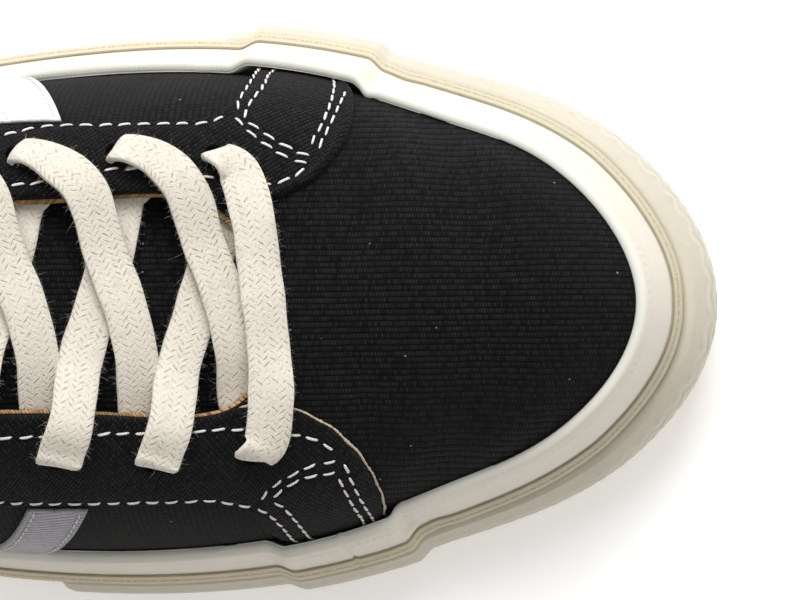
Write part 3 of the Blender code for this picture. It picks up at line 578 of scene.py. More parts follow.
def rim(distance, reach):
    """A quarter round from 0 at the rim to 1 at reach inside it."""
    t = np.clip(np.asarray(distance) / reach, 0, 1)
    return np.sqrt(np.clip(1 - (1 - t) ** 2, 0, 1))


def joined_quads(template, copies, points_each):
    """The template's faces repeated for each copy, with point numbers moved on."""
    moved = template[None] + (np.arange(copies) * points_each)[:, None, None]
    return moved.reshape(-1, template.shape[1])


# Materials


class Wiring:
    """Adds shader nodes to a tree and joins them."""

    def __init__(self, tree):
        self.tree = tree

    def put(self, socket, value):
        """Joins a socket to the input, or sets its number, vector or colour."""
        if isinstance(value, bpy.types.NodeSocket):
            self.tree.links.new(value, socket)
        else:
            socket.default_value = value

    def add(self, kind, inputs=None, **settings):
        """A node with its inputs and settings, as its outputs."""
        node = self.tree.nodes.new(kind)
        for key, value in settings.items():
            setattr(node, key, value)
        for key, value in (inputs or {}).items():
            self.put(node.inputs[key], value)
        return node.outputs

    def maths(self, operation, *values):
        """A Math node's result."""
        node = self.tree.nodes.new("ShaderNodeMath")
        node.operation = operation
        for socket, value in zip(node.inputs, values):
            self.put(socket, value)
        return node.outputs[0]

    def times(self, first, *others):
        """The product of all the values."""
        for other in others:
            first = self.maths("MULTIPLY", first, other)
        return first

    def line(self, value, factor, plus):
        """The value times the factor, plus the last."""
        return self.maths("MULTIPLY_ADD", value, factor, plus)

    def fold(self, value):
        """A ridge over each whole step of the value: 1 at its ends and 0 halfway."""
        return self.maths("ABSOLUTE", self.line(self.maths("FRACT", value), 2.0, -1.0))

    def mix(self, factor, first, second):
        """Two colours mixed, each as a socket or as red, green and blue."""
        node = self.tree.nodes.new("ShaderNodeMix")
        node.data_type = "RGBA"
        for k, value in ((0, factor), (6, first), (7, second)):
            self.put(node.inputs[k], (*value, 1.0) if isinstance(value, tuple) else value)
        return node.outputs[2]

    def tint(self, body, colour, mask, strength):
        """The body turned towards a colour by the mask times the strength."""
        return self.mix(self.times(mask, strength), body, colour)

    def rise(self, value, low, high):
        """A smooth rise from 0 at low to 1 at high, or a fall where low is the greater."""
        ends = (0.0, 1.0) if low < high else (1.0, 0.0)
        return self.add("ShaderNodeMapRange", {
            "Value": value, "From Min": min(low, high), "From Max": max(low, high),
            "To Min": ends[0], "To Max": ends[1],
        }, interpolation_type="SMOOTHSTEP")["Result"]

    def band(self, value, *levels):
        """A smooth rise over the first two levels times a smooth fall over the last two."""
        return self.times(self.rise(value, *levels[:2]), self.rise(value, *levels[2:]))

    def noise(self, vector, scale, detail):
        """Noise of the given scale."""
        return self.add("ShaderNodeTexNoise", {"Vector": vector, "Scale": scale, "Detail": detail})[0]

    def streaks(self, vector, along, across, detail):
        """Noise with a scale of its own along each axis of the cloth map."""
        place = self.add("ShaderNodeMapping", {"Vector": vector, "Scale": (along, across, 1.0)})[0]
        return self.noise(place, 1.0, detail)

    def split(self, vector):
        """The vector's three numbers."""
        return self.add("ShaderNodeSeparateXYZ", {0: vector})

    def chance(self, column, row):
        """A random number for each cell of a grid."""
        cell = self.add("ShaderNodeCombineXYZ", {0: column, 1: row})[0]
        return self.add("ShaderNodeTexWhiteNoise", {"Vector": cell}, noise_dimensions="2D")[0]

    def attribute(self, name):
        """A named value of the mesh."""
        return self.add("ShaderNodeAttribute", attribute_name=name)["Fac"]

    def group(self, name, **inputs):
        """A shared effect with its own values, as its outputs."""
        node = self.tree.nodes.new("ShaderNodeGroup")
        node.node_tree = bpy.data.node_groups[name]
        for key, value in inputs.items():
            self.put(node.inputs[key], value)
        return node.outputs


def new_group(name, inputs, outputs):
    """A node group whose inputs are numbers with a default, or a vector where there is none."""
    tree = bpy.data.node_groups.new(name, "ShaderNodeTree")
    for label, default in inputs.items():
        kind = "NodeSocketVector" if default is None else "NodeSocketFloat"
        socket = tree.interface.new_socket(name=label, in_out="INPUT", socket_type=kind)
        if default is not None:
            socket.default_value = default
    for label in outputs:
        tree.interface.new_socket(name=label, in_out="OUTPUT", socket_type="NodeSocketFloat")
    w = Wiring(tree)
    return w, w.add("NodeGroupInput"), tree.nodes.new("NodeGroupOutput").inputs


def make_groups():
    """Woven Cloth, Lint and Grime: the effects that several finishes share."""
    sizes = {"Vector": None, "Rib": 0.0011, "Bead": 0.00055, "Shift": 0.5}
    w, into, out = new_group("Woven Cloth", sizes, ["Height", "Gap", "Thread"])
    sway = w.add("ShaderNodeTexNoise", {"Vector": into["Vector"], "Scale": 260.0, "Detail": 2.0})[1]
    swing = w.add("ShaderNodeVectorMath", {0: sway, 1: (0.5, 0.5, 0.5)}, operation="SUBTRACT")[0]
    swing = w.add("ShaderNodeVectorMath", {0: swing, "Scale": 0.00030}, operation="SCALE")[0]
    axes = w.split(w.add("ShaderNodeVectorMath", {0: into["Vector"], 1: swing}, operation="ADD")[0])
    v = w.maths("DIVIDE", axes[1], into["Rib"])
    row = w.maths("FLOOR", v)
    u = w.line(row, into["Shift"], w.maths("DIVIDE", axes[0], into["Bead"]))
    across, along = (w.maths("SUBTRACT", 1.0, w.maths("POWER", w.fold(a), 2.4)) for a in (v, u))
    height = w.times(across, w.line(along, 0.78, 0.22))
    w.put(out["Height"], height)
    # Painted shade: marks the gaps where the weave sits low, for darkening.
    w.put(out["Gap"], w.rise(height, 0.45, 0.10))
    w.put(out["Thread"], w.chance(w.maths("FLOOR", u), row))

    w, into, out = new_group("Lint", {"Vector": None, "Scale": 330.0, "Share": 0.12}, ["Speck"])
    cells = w.add("ShaderNodeTexVoronoi", {"Vector": into["Vector"], "Scale": into["Scale"]})
    kept = w.maths("LESS_THAN", w.split(cells["Color"])[0], into["Share"])
    w.put(out["Speck"], w.times(w.rise(cells["Distance"], 0.085, 0.045), kept))

    w, into, out = new_group("Grime", {"Vector": None, "Low": 0.0, "Reach": 0.012}, ["Dirt", "Mottle"])
    soft = w.noise(into["Vector"], 38.0, 5.0)
    above = w.maths("SUBTRACT", w.split(into["Vector"])[2], into["Low"])
    above = w.maths("MINIMUM", w.maths("MAXIMUM", w.maths("DIVIDE", above, into["Reach"]), 0.0), 1.0)
    patch = w.times(w.rise(soft, 0.46, 0.72), w.rise(w.noise(into["Vector"], 420.0, 3.0), 0.40, 0.66))
    w.put(out["Dirt"], w.times(patch, w.line(w.maths("SUBTRACT", 1.0, above), 0.8, 0.2)))
    w.put(out["Mottle"], soft)


def new_material(name, roughness, specular, sheen=0.0, coat=0.0, subsurface=0.0):
    """An empty finish with its plain numbers on the shader, and the sockets that patterns start from."""
    made = bpy.data.materials.new(name)
    made.use_nodes = True
    made.node_tree.nodes.clear()
    w = Wiring(made.node_tree)
    shader = made.node_tree.nodes.new("ShaderNodeBsdfPrincipled")
    for key, value in (
        ("Roughness", roughness), ("Specular IOR Level", specular), ("Coat Weight", coat),
        ("Sheen Weight", sheen), ("Sheen Roughness", 0.45), ("Subsurface Weight", subsurface),
        ("Subsurface Radius", (0.0030, 0.0020, 0.0012)), ("Subsurface Scale", 0.6),
    ):
        w.put(shader.inputs[key], value)
    surface = made.node_tree.nodes.new("ShaderNodeOutputMaterial")
    w.put(surface.inputs[0], shader.outputs[0])
    place = w.add("ShaderNodeTexCoord")["Object"]
    cloth = w.add("ShaderNodeUVMap", uv_map="Cloth")[0]
    return w, shader.inputs, place, cloth


def dress(w, shader, body, height, distance=1.0):
    """Gives the shader its colour and its bump."""
    w.put(shader["Base Color"], body)
    w.put(shader["Normal"], w.add("ShaderNodeBump", {"Height": height, "Distance": distance, "Strength": 1.0})[0])


def shaded(colour, *factors):
    """A colour times one factor, or times one each for red, green and blue."""
    factors = factors if len(factors) == 3 else factors * 3
    return (colour[0] * factors[0], colour[1] * factors[1], colour[2] * factors[2])


def cloth_material(name, colour, rib, bead, shift, lint, crest_highlight, relief, sheen, turn=0.0):
    """Woven cloth: dark gaps as painted shade, threads that differ a little, crests paler as painted highlight,
    and specks of lint.
    """
    w, shader, place, cloth = new_material(name, 0.90, 0.12, sheen)
    if turn:
        cloth = w.add("ShaderNodeMapping", {"Vector": cloth, "Rotation": (0.0, 0.0, turn)})[0]
    weave = w.group("Woven Cloth", Vector=cloth, Rib=rib, Bead=bead, Shift=shift)
    fibre = w.streaks(cloth, 2600.0, 9000.0, 2.0)
    body = w.mix(weave["Thread"], shaded(colour, 0.60), shaded(colour, 1.40))
    # Painted highlight: paler thread crests, strongest where the fibres are pale.
    highlight_strength = w.times(w.rise(fibre, 0.30, 0.75), w.line(weave["Thread"], 0.9, 0.1))
    body = w.tint(body, shaded(colour, crest_highlight), w.maths("POWER", weave["Height"], 2.0), highlight_strength)
    # Painted shade in the gaps between the threads.
    body = w.mix(weave["Gap"], body, shaded(colour, 0.22))
    body = w.tint(body, shaded(colour, 0.7), w.rise(w.noise(place, 28.0, 3.0), 0.40, 0.75), 0.35)
    if lint:
        specks = w.group("Lint", Vector=place, Scale=330.0, Share=lint)
        body = w.tint(body, (0.42, 0.44, 0.43), specks["Speck"], 0.75)
    dress(w, shader, body, w.line(fibre, 0.25, weave["Height"]), relief)


def rubber_material(name, colour, roughness, grain, dirt, detail=None):
    """Moulded rubber: faint mottling, grime that thickens towards the floor, and a fine grain."""
    w, shader, place, cloth = new_material(name, roughness, 0.45, subsurface=0.08)
    grime = w.group("Grime", Vector=place, Low=0.0, Reach=0.016)
    body = w.mix(grime["Mottle"], shaded(colour, 1.04), shaded(colour, 0.93))
    body = w.tint(body, shaded(colour, 0.50), grime["Dirt"], dirt)
    height = w.times(w.noise(place, 2600.0, 2.0), grain)
    if detail:
        body, height = detail(w, cloth, body, height)
    w.put(shader["Roughness"], w.line(grime["Mottle"], 0.25, roughness - 0.10))
    dress(w, shader, body, height)


def foxing_detail(w, cloth, body, height):
    """Fine ribs below the lip round the front with painted shade in their troughs, and a row of small pits along
    the lip behind it, with painted shade in them.

    The map runs along the tape, and down it from the lip's inner edge, in metres."""
    along, down, _ = w.split(cloth)
    front = w.attribute("front")
    wave = w.maths("SINE", w.times(along, 2 * math.pi / 0.00150))
    uneven = w.rise(w.streaks(cloth, 60.0, 300.0, 3.0), 0.30, 0.62)
    ribs = w.times(w.band(down, 0.0026, 0.0032, 0.0056, 0.0044), front, uneven)
    height = w.line(w.times(wave, ribs), 0.00005, height)
    body = w.tint(body, (0.78, 0.71, 0.62), w.rise(down, 0.0020, 0.0028), 0.55)
    body = w.tint(body, (0.77, 0.785, 0.73), w.rise(down, 0.0026, 0.0012), 0.45)
    # Painted shade in the troughs of the ribs, darker where the wave runs low.
    body = w.tint(body, (0.60, 0.58, 0.52), ribs, w.line(wave, -0.06, 0.08))
    step = w.maths("FRACT", w.maths("DIVIDE", along, 0.00090))
    pits = w.times(w.band(step, 0.10, 0.30, 0.76, 0.56), w.band(down, 0.00070, 0.00085, 0.00115, 0.00100))
    pits = w.times(pits, w.line(front, -0.95, 1.0))
    # Painted shade in the pits along the lip.
    return w.tint(body, (0.40, 0.38, 0.32), pits, 0.16), w.line(pits, -0.00003, height)


def stripe_detail(w, cloth, body, height):
    """Painted shade as a dark line in the crease at the inner edge, a fine broken row of pits with painted shade
    in them, and a faint outer line.
    """
    across = w.attribute("across")
    body = w.tint(body, (0.53, 0.50, 0.37), w.attribute("front"), 0.60)
    patch = w.rise(w.streaks(cloth, 1500.0, 1.0, 2.0), 0.40, 0.60)
    pits = w.times(w.band(across, 0.42, 0.47, 0.58, 0.53), patch)
    # Painted shade in the pits along the groove.
    body = w.tint(body, (0.30, 0.25, 0.16), pits, 0.42)
    outer = w.times(w.band(across, 0.00, 0.03, 0.12, 0.08), 0.45)
    # Painted shade: the dark line in the crease at the inner edge, joined with a faint outer line.
    edges = w.maths("MAXIMUM", outer, w.rise(across, 0.955, 0.985))
    body = w.tint(body, (0.22, 0.19, 0.11), edges, 0.80)
    streak = w.rise(w.streaks(cloth, 260.0, 2600.0, 3.0), 0.45, 0.72)
    return w.tint(body, (0.56, 0.49, 0.33), streak, 0.25), w.line(pits, -0.00010, height)


def bumper_detail(w, cloth, body, height):
    """Painted highlight on the crests and painted shade in the hollows of the moulded relief."""
    stud = w.attribute("stud")
    # Painted shade in the hollows of the relief.
    body = w.tint(body, (0.50, 0.47, 0.40), w.rise(stud, -0.05, -0.75), 0.26)
    # Painted highlight on the crests of the relief.
    body = w.tint(body, (0.74, 0.72, 0.65), w.rise(stud, 0.05, 0.60), 0.35)
    patch = w.rise(w.streaks(cloth, 500.0, 900.0, 3.0), 0.52, 0.74)
    return w.tint(body, (0.50, 0.47, 0.40), patch, 0.22), height


def lace_material(name, colour, pitch, relief):
    """Braided cotton: six columns of short slanted hollows with painted shade in them, their slant turning from
    column to column.

    The map runs along the lace in metres, and across it from -1 to 1. Each hollow is as deep as chance
    has it and fades out at the borders of its column."""
    w, shader, place, cloth = new_material(name, 0.92, 0.18, 0.30)
    along, across, _ = w.split(cloth)
    columns = w.line(across, 2.95, 3.0)
    column = w.maths("FLOOR", columns)
    local = w.line(w.maths("FRACT", columns), 2.0, -1.0)
    odd = w.maths("MODULO", column, 2.0)
    slant = w.times(local, w.line(odd, -0.90, 0.45))
    phase = w.maths("ADD", w.maths("DIVIDE", along, pitch), w.line(odd, 0.5, slant))
    phase = w.line(column, 0.13, phase)
    chance = w.chance(w.maths("ROUND", phase), column)
    faded = w.maths("SUBTRACT", 1.0, w.maths("POWER", w.maths("ABSOLUTE", local), 2.5))
    hollow = w.times(w.rise(w.fold(phase), 0.56, 0.98), faded, w.line(chance, 0.65, 0.35))
    hollow = w.times(hollow, w.rise(w.noise(place, 1100.0, 2.0), 0.34, 0.60))
    fibre = w.streaks(cloth, 1500.0, 20.0, 4.0)
    body = w.mix(w.rise(fibre, 0.32, 0.70), shaded(colour, 0.88), shaded(colour, 1.06))
    # Painted shade in the braid's hollows.
    body = w.tint(body, shaded(colour, 0.58, 0.52, 0.42), hollow, 0.70)
    slub = w.rise(w.noise(place, 420.0, 2.0), 0.54, 0.74)
    body = w.tint(body, shaded(colour, 0.80, 0.74, 0.66), slub, 0.45)
    lump = w.times(w.line(w.noise(place, 2400.0, 3.0), 0.9, fibre), 0.00013)
    dress(w, shader, body, w.line(hollow, -relief, lump))


def thread_material(name, colour, roughness=0.55):
    """Twisted sewing thread: slanted plies along it, with painted shade between them."""
    w, shader, place, cloth = new_material(name, roughness, 0.4, 0.25)
    along, across, _ = w.split(cloth)
    ply = w.maths("ADD", across, w.times(along, 1800.0))
    twist = w.maths("ABSOLUTE", w.maths("SINE", w.times(ply, math.pi)))
    # Painted shade in the grooves between the plies.
    body = w.mix(twist, shaded(colour, 0.66), shaded(colour, 1.05))
    body = w.tint(body, shaded(colour, 0.78), w.rise(w.noise(place, 1400.0, 3.0), 0.55, 0.75), 0.4)
    dress(w, shader, body, twist, 0.00008)


def leather_material(name, colour, rib_depth=0.0):
    """Smooth coated leather with a fine pebble and faint scuffs, and ribs where they have a depth, with painted
    shade in their grooves.
    """
    pebble = 0.00006
    w, shader, place, cloth = new_material(name, 0.40, 0.5, coat=0.10)
    cells = w.add("ShaderNodeTexVoronoi", {"Vector": place, "Scale": 1500.0})["Distance"]
    scuff = w.streaks(cloth, 2200.0, 160.0, 4.0)
    body = w.mix(w.rise(scuff, 0.45, 0.70), shaded(colour, 1.0), shaded(colour, 0.86))
    if rib_depth:
        rib = w.maths("ABSOLUTE", w.maths("SINE", w.times(w.split(cloth)[1], math.pi / 0.00110)))
        # Painted shade in the grooves between the ribs.
        body = w.mix(w.rise(rib, 0.55, 0.05), body, shaded(colour, 0.62))
        cells = w.line(rib, rib_depth / pebble, cells)
    w.put(shader["Roughness"], w.line(scuff, 0.25, 0.30))
    dress(w, shader, body, w.line(scuff, 0.6, cells), pebble)


def floor_material():
    """Pale paper that glows a little, as an overexposed studio floor does."""
    w, shader, place, _ = new_material("Studio Paper", 0.90, 0.2)
    w.put(shader["Base Color"], w.mix(w.noise(place, 3.0, 2.0), (0.93, 0.925, 0.915), (0.95, 0.945, 0.935)))
    w.put(shader["Emission Color"], (1.0, 0.995, 0.985, 1.0))
    w.put(shader["Emission Strength"], 0.26)


def finishes():
    """Every finish, made once from the scene's colours and kept by name."""
    if "Black Canvas" in bpy.data.materials:
        return bpy.data.materials
    make_groups()
    sizes, colours = bpy.context.scene.shoe_sizes, bpy.context.scene.shoe_colours
    # Rib, bead, shift from rib to rib, lint, painted highlight on the crests, relief, sheen and turn
    rib, bead = sizes.canvas_rib, sizes.canvas_bead
    cloth_material("Black Canvas", colours.canvas, rib, bead, 0.5, 0.16, 5.0, 0.00026, 0.03)
    cloth_material("Black Twill", colours.twill, 0.00068, 0.00085, 0.30, 0.06, 6.5, 0.00026, 0.035, 0.9)
    cloth_material("Collar Cloth", colours.twill, 0.00055, 0.00055, 0.5, 0.03, 2.0, 0.00012, 0.06)
    cloth_material("Tan Drill", colours.lining, 0.00060, 0.00090, 0.33, 0.0, 1.15, 0.00014, 0.12)
    cloth_material("Insole Cotton", colours.insole, 0.00075, 0.00075, 0.5, 0.0, 1.15, 0.00014, 0.10)
    # Roughness, grain and dirt
    rubber_material("Cream Foxing", colours.foxing, 0.42, 0.00003, 0.30, foxing_detail)
    rubber_material("Tan Stripe", colours.stripe, 0.50, 0.00004, 0.20, stripe_detail)
    rubber_material("Toe Rubber", colours.bumper, 0.48, 0.00008, 0.35, bumper_detail)
    rubber_material("Tread Rubber", colours.tread, 0.52, 0.00006, 0.60)
    lace_material("Cream Cotton", colours.lace, sizes.braid_pitch, sizes.braid_relief)
    thread_material("White Thread", colours.thread)
    thread_material("Raw Yarn", (0.62, 0.52, 0.36), 0.85)
    thread_material("Cotton Fibre", (0.80, 0.74, 0.64), 0.9)
    leather_material("White Leather", colours.band)
    # The white leather's darker, greyer copy: painted shade for the band on the side away from the light.
    leather_material("Shaded White Leather", colours.shaded_band, 0.00026)
    floor_material()
    return bpy.data.materials


# The upper


def collar_share(station, share):
    """How far the padded collar has come in: full behind station 4.6, none ahead of 5.6, from halfway up."""
    return (1 - smooth_step(station_from_heel(station), 4.6, 5.6)) * smooth_step(share, 0.45, 0.80)


def collar_round(station, share):
    """How far the padded edge rolls in, as the part's own wall does."""
    pad = COLLAR_PAD * collar_share(station, share)
    return 0.45 * (pad + WALL) * smooth_step(share, 0.86, 1.04) * (pad / COLLAR_PAD)


def wall_grid(count, columns):
    """Stations round the shoe, and shares that start under the foxing and close up towards the edge."""
    stations = np.linspace(0, AROUND, count, endpoint=False)
    under = foxing_share(stations)[:, None]
    above = 1 - (1 - np.linspace(0, 1, columns)) ** 1.15
    share = np.concatenate([under * [0.0, 0.45, 0.85], under + (1 - under) * above], axis=1)
    station = np.broadcast_to(stations[:, None], share.shape)
    return stations, station, share


def wrapped(grid):
    """The grid with its first row again at the end."""
    return np.concatenate([grid, grid[:1]])


def wall_map(stations, share):
    """Map of a wall, its ribs up the quarters and along the vamp, read for both of the wall's faces."""
    skin = upper_skin(stations[:, None], share)
    girth = read_table(GIRTH_TABLE, np.broadcast_to(stations[:, None], share.shape), share)
    quarter = wrapped(np.stack([girth, skin[..., 0]], -1))
    vamp = wrapped(skin[..., :2])
    rows = np.append(stations, AROUND)

    def corner_uv(r, c):
        """Map at rows and columns, where the inner face's columns run back."""
        c = np.minimum(c, 2 * share.shape[1] - 1 - c)
        behind = station_from_heel(rows[r].mean(1)) < 8.9
        return np.where(behind[:, None, None], quarter[r, c], vamp[r, c])

    return corner_uv


def eyelet_places(side):
    """Station and share of each eyelet of a side, from the toe backwards."""
    stations = side_stations(side, np.linspace(5.2, 9.9, 189))
    shares = np.linspace(0.55, 1.0, 91)
    wall = upper_skin(stations[:, None], shares[None, :])
    steps = np.linalg.norm(np.diff(wall, axis=1), axis=2)
    from_edge = np.concatenate([np.cumsum(steps[:, ::-1], axis=1)[:, ::-1], np.zeros((len(stations), 1))], axis=1)
    best = np.abs(from_edge - EYELET_INSET).argmin(axis=1)
    x = wall[np.arange(len(stations)), best, 0]
    first = edge_point(HALF)[0] - EYELET_START[side]
    places = []
    for k in range(EYELET_PAIRS):
        near = np.abs(x - first + k * EYELET_PITCH).argmin()
        places.append((float(stations[near]), float(shares[best[near]])))
    return places


def eyelet(side, pair):
    """Station and share of an eyelet, its middle on the upper's outer face, and the normal there."""
    station, share = eyelet_places(side)[pair]
    return station, share, upper_skin(station, share), skin_normal(station, share)


def punch_holes(*targets):
    """Cuts a round hole square to the wall through each piece at every eyelet."""
    radius, depth = EYELET_RADIUS * 0.72, 0.012
    work = bmesh.new()
    for side in SIDES:
        for pair in range(EYELET_PAIRS):
            hole, normal = eyelet(side, pair)[2:]
            turn = Vector(normal).to_track_quat("Z", "Y").to_matrix().to_4x4()
            bmesh.ops.create_cone(
                work, cap_ends=True, segments=20, radius1=radius, radius2=radius,
                depth=depth, matrix=Matrix.Translation(Vector(to_frame(hole))) @ turn,
            )
    mesh = bpy.data.meshes.new("eyelet_punch")
    work.to_mesh(mesh)
    work.free()
    punch = bpy.data.objects.new("eyelet_punch", mesh)
    punch.hide_render = True
    bpy.context.scene.collection.objects.link(punch)
    for target in targets:
        step = target.modifiers.new("Eyelets", "BOOLEAN")
        step.operation, step.solver, step.object = "DIFFERENCE", "EXACT", punch
        bpy.context.view_layer.update()
        cut = bpy.data.meshes.new_from_object(target.evaluated_get(bpy.context.evaluated_depsgraph_get()))
        target.modifiers.clear()
        cut.name = target.data.name + "_cut"
        target.data = cut
    bpy.data.objects.remove(punch)


def rolled_edge(station, share):
    """How far the cloths have come to the padded collar's rolled edge, where they thin out."""
    return collar_share(station, share) * smooth_step(share, 0.80, 0.95)


def canvas_depth(station, share):
    """Thickness of the canvas, 45 % less at the rolled edge."""
    return bpy.context.scene.shoe_sizes.canvas_thickness * (1 - 0.45 * rolled_edge(station, share))


def lining_depth(station, share):
    """Thickness of the lining, 85 % less at the rolled edge."""
    return 0.0009 * (1 - 0.85 * rolled_edge(station, share))


def outer_face(station, share):
    """Height of the canvas's outer face over the upper: its creases less the collar's roll."""
    return soft_lift(station, share) - collar_round(station, share)


def build_upper():
    """The canvas shell, and its tan lining with a raw edge standing proud at the throat."""
    stations, station, share = wall_grid(430, 44)
    outer = outer_face(station, share)
    over = lifted(station, share, outer)
    under = lifted(station, share, outer - canvas_depth(station, share))
    mesh = carried_mesh("canvas_upper", rings_between(over, under), True, wall_map(stations, share))
    shell = piece(mesh, "Black Canvas", "canvas", "upper")

    stations, station, share = wall_grid(280, 30)
    outer = outer_face(station, share) - canvas_depth(station, share) - 0.00004
    over = lifted(station, share, outer)
    under = lifted(station, share, outer - (lining_depth(station, share) + 0.00005))
    rise = unit(upper_skin(stations, 1.0) - upper_skin(stations, 0.985))
    frayed = 0.00015 * np.sin(stations * 61.0) * np.sin(stations * 23.0 + 1.0)
    frayed += 0.00055 + 0.00035 * is_medial(stations)
    proud = rise * (frayed * smooth_step(station_from_heel(stations), 5.4, 6.0))[:, None]
    over, under = (np.concatenate([a, a[:, -1:] + proud[:, None]], axis=1) for a in (over, under))
    share = np.concatenate([share, share[:, -1:]], axis=1)
    mesh = carried_mesh("upper_lining", rings_between(over, under), True, wall_map(stations, share))
    punch_holes(shell, piece(mesh, "Tan Drill", "canvas"))


def build_collar():
    """The collar's soft pad, from under the lining to the wall's inner face, a little uneven."""
    stations = np.linspace(-5.65, 5.65, 220)
    share = np.linspace(0.43, 1.0, 32)[None, :] + 0 * stations[:, None]
    station = np.broadcast_to(stations[:, None], share.shape)
    soft, roll = soft_lift(station, share), collar_round(station, share)
    collar = collar_share(station, share)
    covered = roll + canvas_depth(station, share) + lining_depth(station, share) + 0.00014
    inner = WALL + COLLAR_PAD * collar - roll + 0.0004 * collar * np.sin(station * 9.0) * np.sin(share * 14.0)
    over = lifted(station, share, soft - covered)
    under = lifted(station, share, soft - np.maximum(inner, covered + 0.00015))
    flat = np.stack([read_table(GIRTH_TABLE, station, share), upper_skin(station, share)[..., 0]], -1)
    mesh = carried_mesh("collar_pad", rings_between(over, under), False, rings_between(flat, flat))
    piece(mesh, "Collar Cloth", "canvas")


# Stitch lines on each side: station from the heel and share up the wall.
STITCH_LINES = {
    "medial": [
        [(5.60, 0.80), (6.20, 0.78), (6.80, 0.755), (7.23, 0.74), (7.50, 0.70), (7.95, 0.695), (8.46, 0.69),
         (8.62, 0.68), (8.73, 0.635)],
        [(8.77, 0.62), (8.68, 0.52), (8.62, 0.41), (8.54, 0.27), (8.47, 0.12)],
        [(8.79, 0.635), (8.96, 0.685), (9.15, 0.72), (9.36, 0.742), (9.55, 0.748), (9.71, 0.735)],
        [(8.58, 0.12), (8.64, 0.275), (8.72, 0.40), (8.79, 0.555), (8.87, 0.64)],
        [(8.90, 0.65), (9.04, 0.67), (9.20, 0.695), (9.37, 0.708), (9.56, 0.712), (9.65, 0.70)],
        [(9.00, 0.12), (9.14, 0.29), (9.32, 0.48), (9.41, 0.56), (9.49, 0.635), (9.60, 0.69)],
        [(5.75, 0.955), (6.60, 0.955), (7.63, 0.95), (8.16, 0.90), (8.34, 0.895), (8.94, 0.912), (9.14, 0.912),
         (9.45, 0.89), (9.66, 0.86), (9.76, 0.80), (9.73, 0.73)],
        [(9.07, 0.12), (9.22, 0.28), (9.34, 0.43), (9.44, 0.53), (9.53, 0.605), (9.66, 0.695)],
    ],
    "lateral": [
        [(5.60, 0.760), (6.20, 0.700), (6.90, 0.645), (7.35, 0.628), (7.93, 0.63), (8.26, 0.625), (8.48, 0.615),
         (8.61, 0.58), (8.72, 0.55)],
        [(8.73, 0.545), (8.77, 0.48), (8.76, 0.36), (8.72, 0.22), (8.70, 0.10)],
        [(8.75, 0.565), (8.92, 0.625), (9.11, 0.665), (9.38, 0.68), (9.54, 0.665), (9.66, 0.635)],
        [(9.65, 0.63), (9.55, 0.56), (9.45, 0.455), (9.37, 0.33), (9.29, 0.15), (9.27, 0.09)],
        [(8.90, 0.585), (9.07, 0.625), (9.26, 0.64), (9.41, 0.625), (9.52, 0.605)],
        [(8.88, 0.57), (8.91, 0.50), (8.88, 0.36), (8.83, 0.20), (8.81, 0.10)],
        [(9.50, 0.60), (9.42, 0.52), (9.34, 0.41), (9.26, 0.245), (9.18, 0.09)],
        [(5.75, 0.950), (6.60, 0.935), (7.30, 0.918), (8.20, 0.935), (8.84, 0.942), (9.08, 0.93), (9.40, 0.875),
         (9.62, 0.80), (9.70, 0.745), (9.69, 0.665)],
    ],
}


def stitch_path(side, line):
    """Dense station and share points along a stitch line."""
    rows = open_spline(np.array(line), np.linspace(0, 1, 40 * len(line)))
    return side_stations(side, rows[:, 0]), rows[:, 1]


def needle_dip(points, paths, depth=0.00028, width=0.00075):
    """A groove along the stitch lines: depth times a bell of the distance to the nearest of their points."""
    flat = points.reshape(-1, 3)
    nearest = np.full(len(flat), 1.0)
    for stations, shares in paths:
        spine = upper_skin(stations, shares)[::3]
        for start in range(0, len(flat), 4000):
            block = flat[start : start + 4000]
            apart = np.linalg.norm(block[:, None] - spine[None], axis=-1).min(1)
            nearest[start : start + 4000] = np.minimum(nearest[start : start + 4000], apart)
    return (depth * np.exp(-((nearest / width) ** 2))).reshape(points.shape[:-1])


def overlay(name, station, share, base, thick, round_reach, paths, roll=0.0):
    """A sheet laid on the upper: quarter-round rims, a groove along its stitches, and a rolled first edge.

    Its map runs along the shoe, and up the wall from the feather line."""
    skin = upper_skin(station, share)
    steps = np.linalg.norm(np.diff(skin, axis=1), axis=2)
    zero = np.zeros((len(skin), 1))
    from_first = np.concatenate([zero, np.cumsum(steps, axis=1)], axis=1)
    from_last = np.concatenate([np.cumsum(steps[:, ::-1], axis=1)[:, ::-1], zero], axis=1)
    rise = thick * rim(np.minimum(from_first, from_last), round_reach)
    rise = rise + roll * np.exp(-(((from_first - 0.0014) / 0.0011) ** 2)) * rim(from_first, 0.0014)
    rise = np.maximum(rise - needle_dip(skin, paths), 0.0)
    soft = soft_lift(station, share)
    over = lifted(station, share, soft + base + rise)
    rings = rings_between(over, lifted(station, share, soft + base - 0.00002))
    girth = read_table(GIRTH_TABLE, station, share) * np.where(is_medial(station), 1.0, -1.0)
    flat = np.stack([skin[..., 0], girth], -1)
    return carried_mesh(name, rings, False, rings_between(flat, flat))


def facing_thick(side):
    """Thickness of an eyestay: the lateral one is the thinner."""
    return OVERLAY * (1.0 if side == "medial" else 0.85)


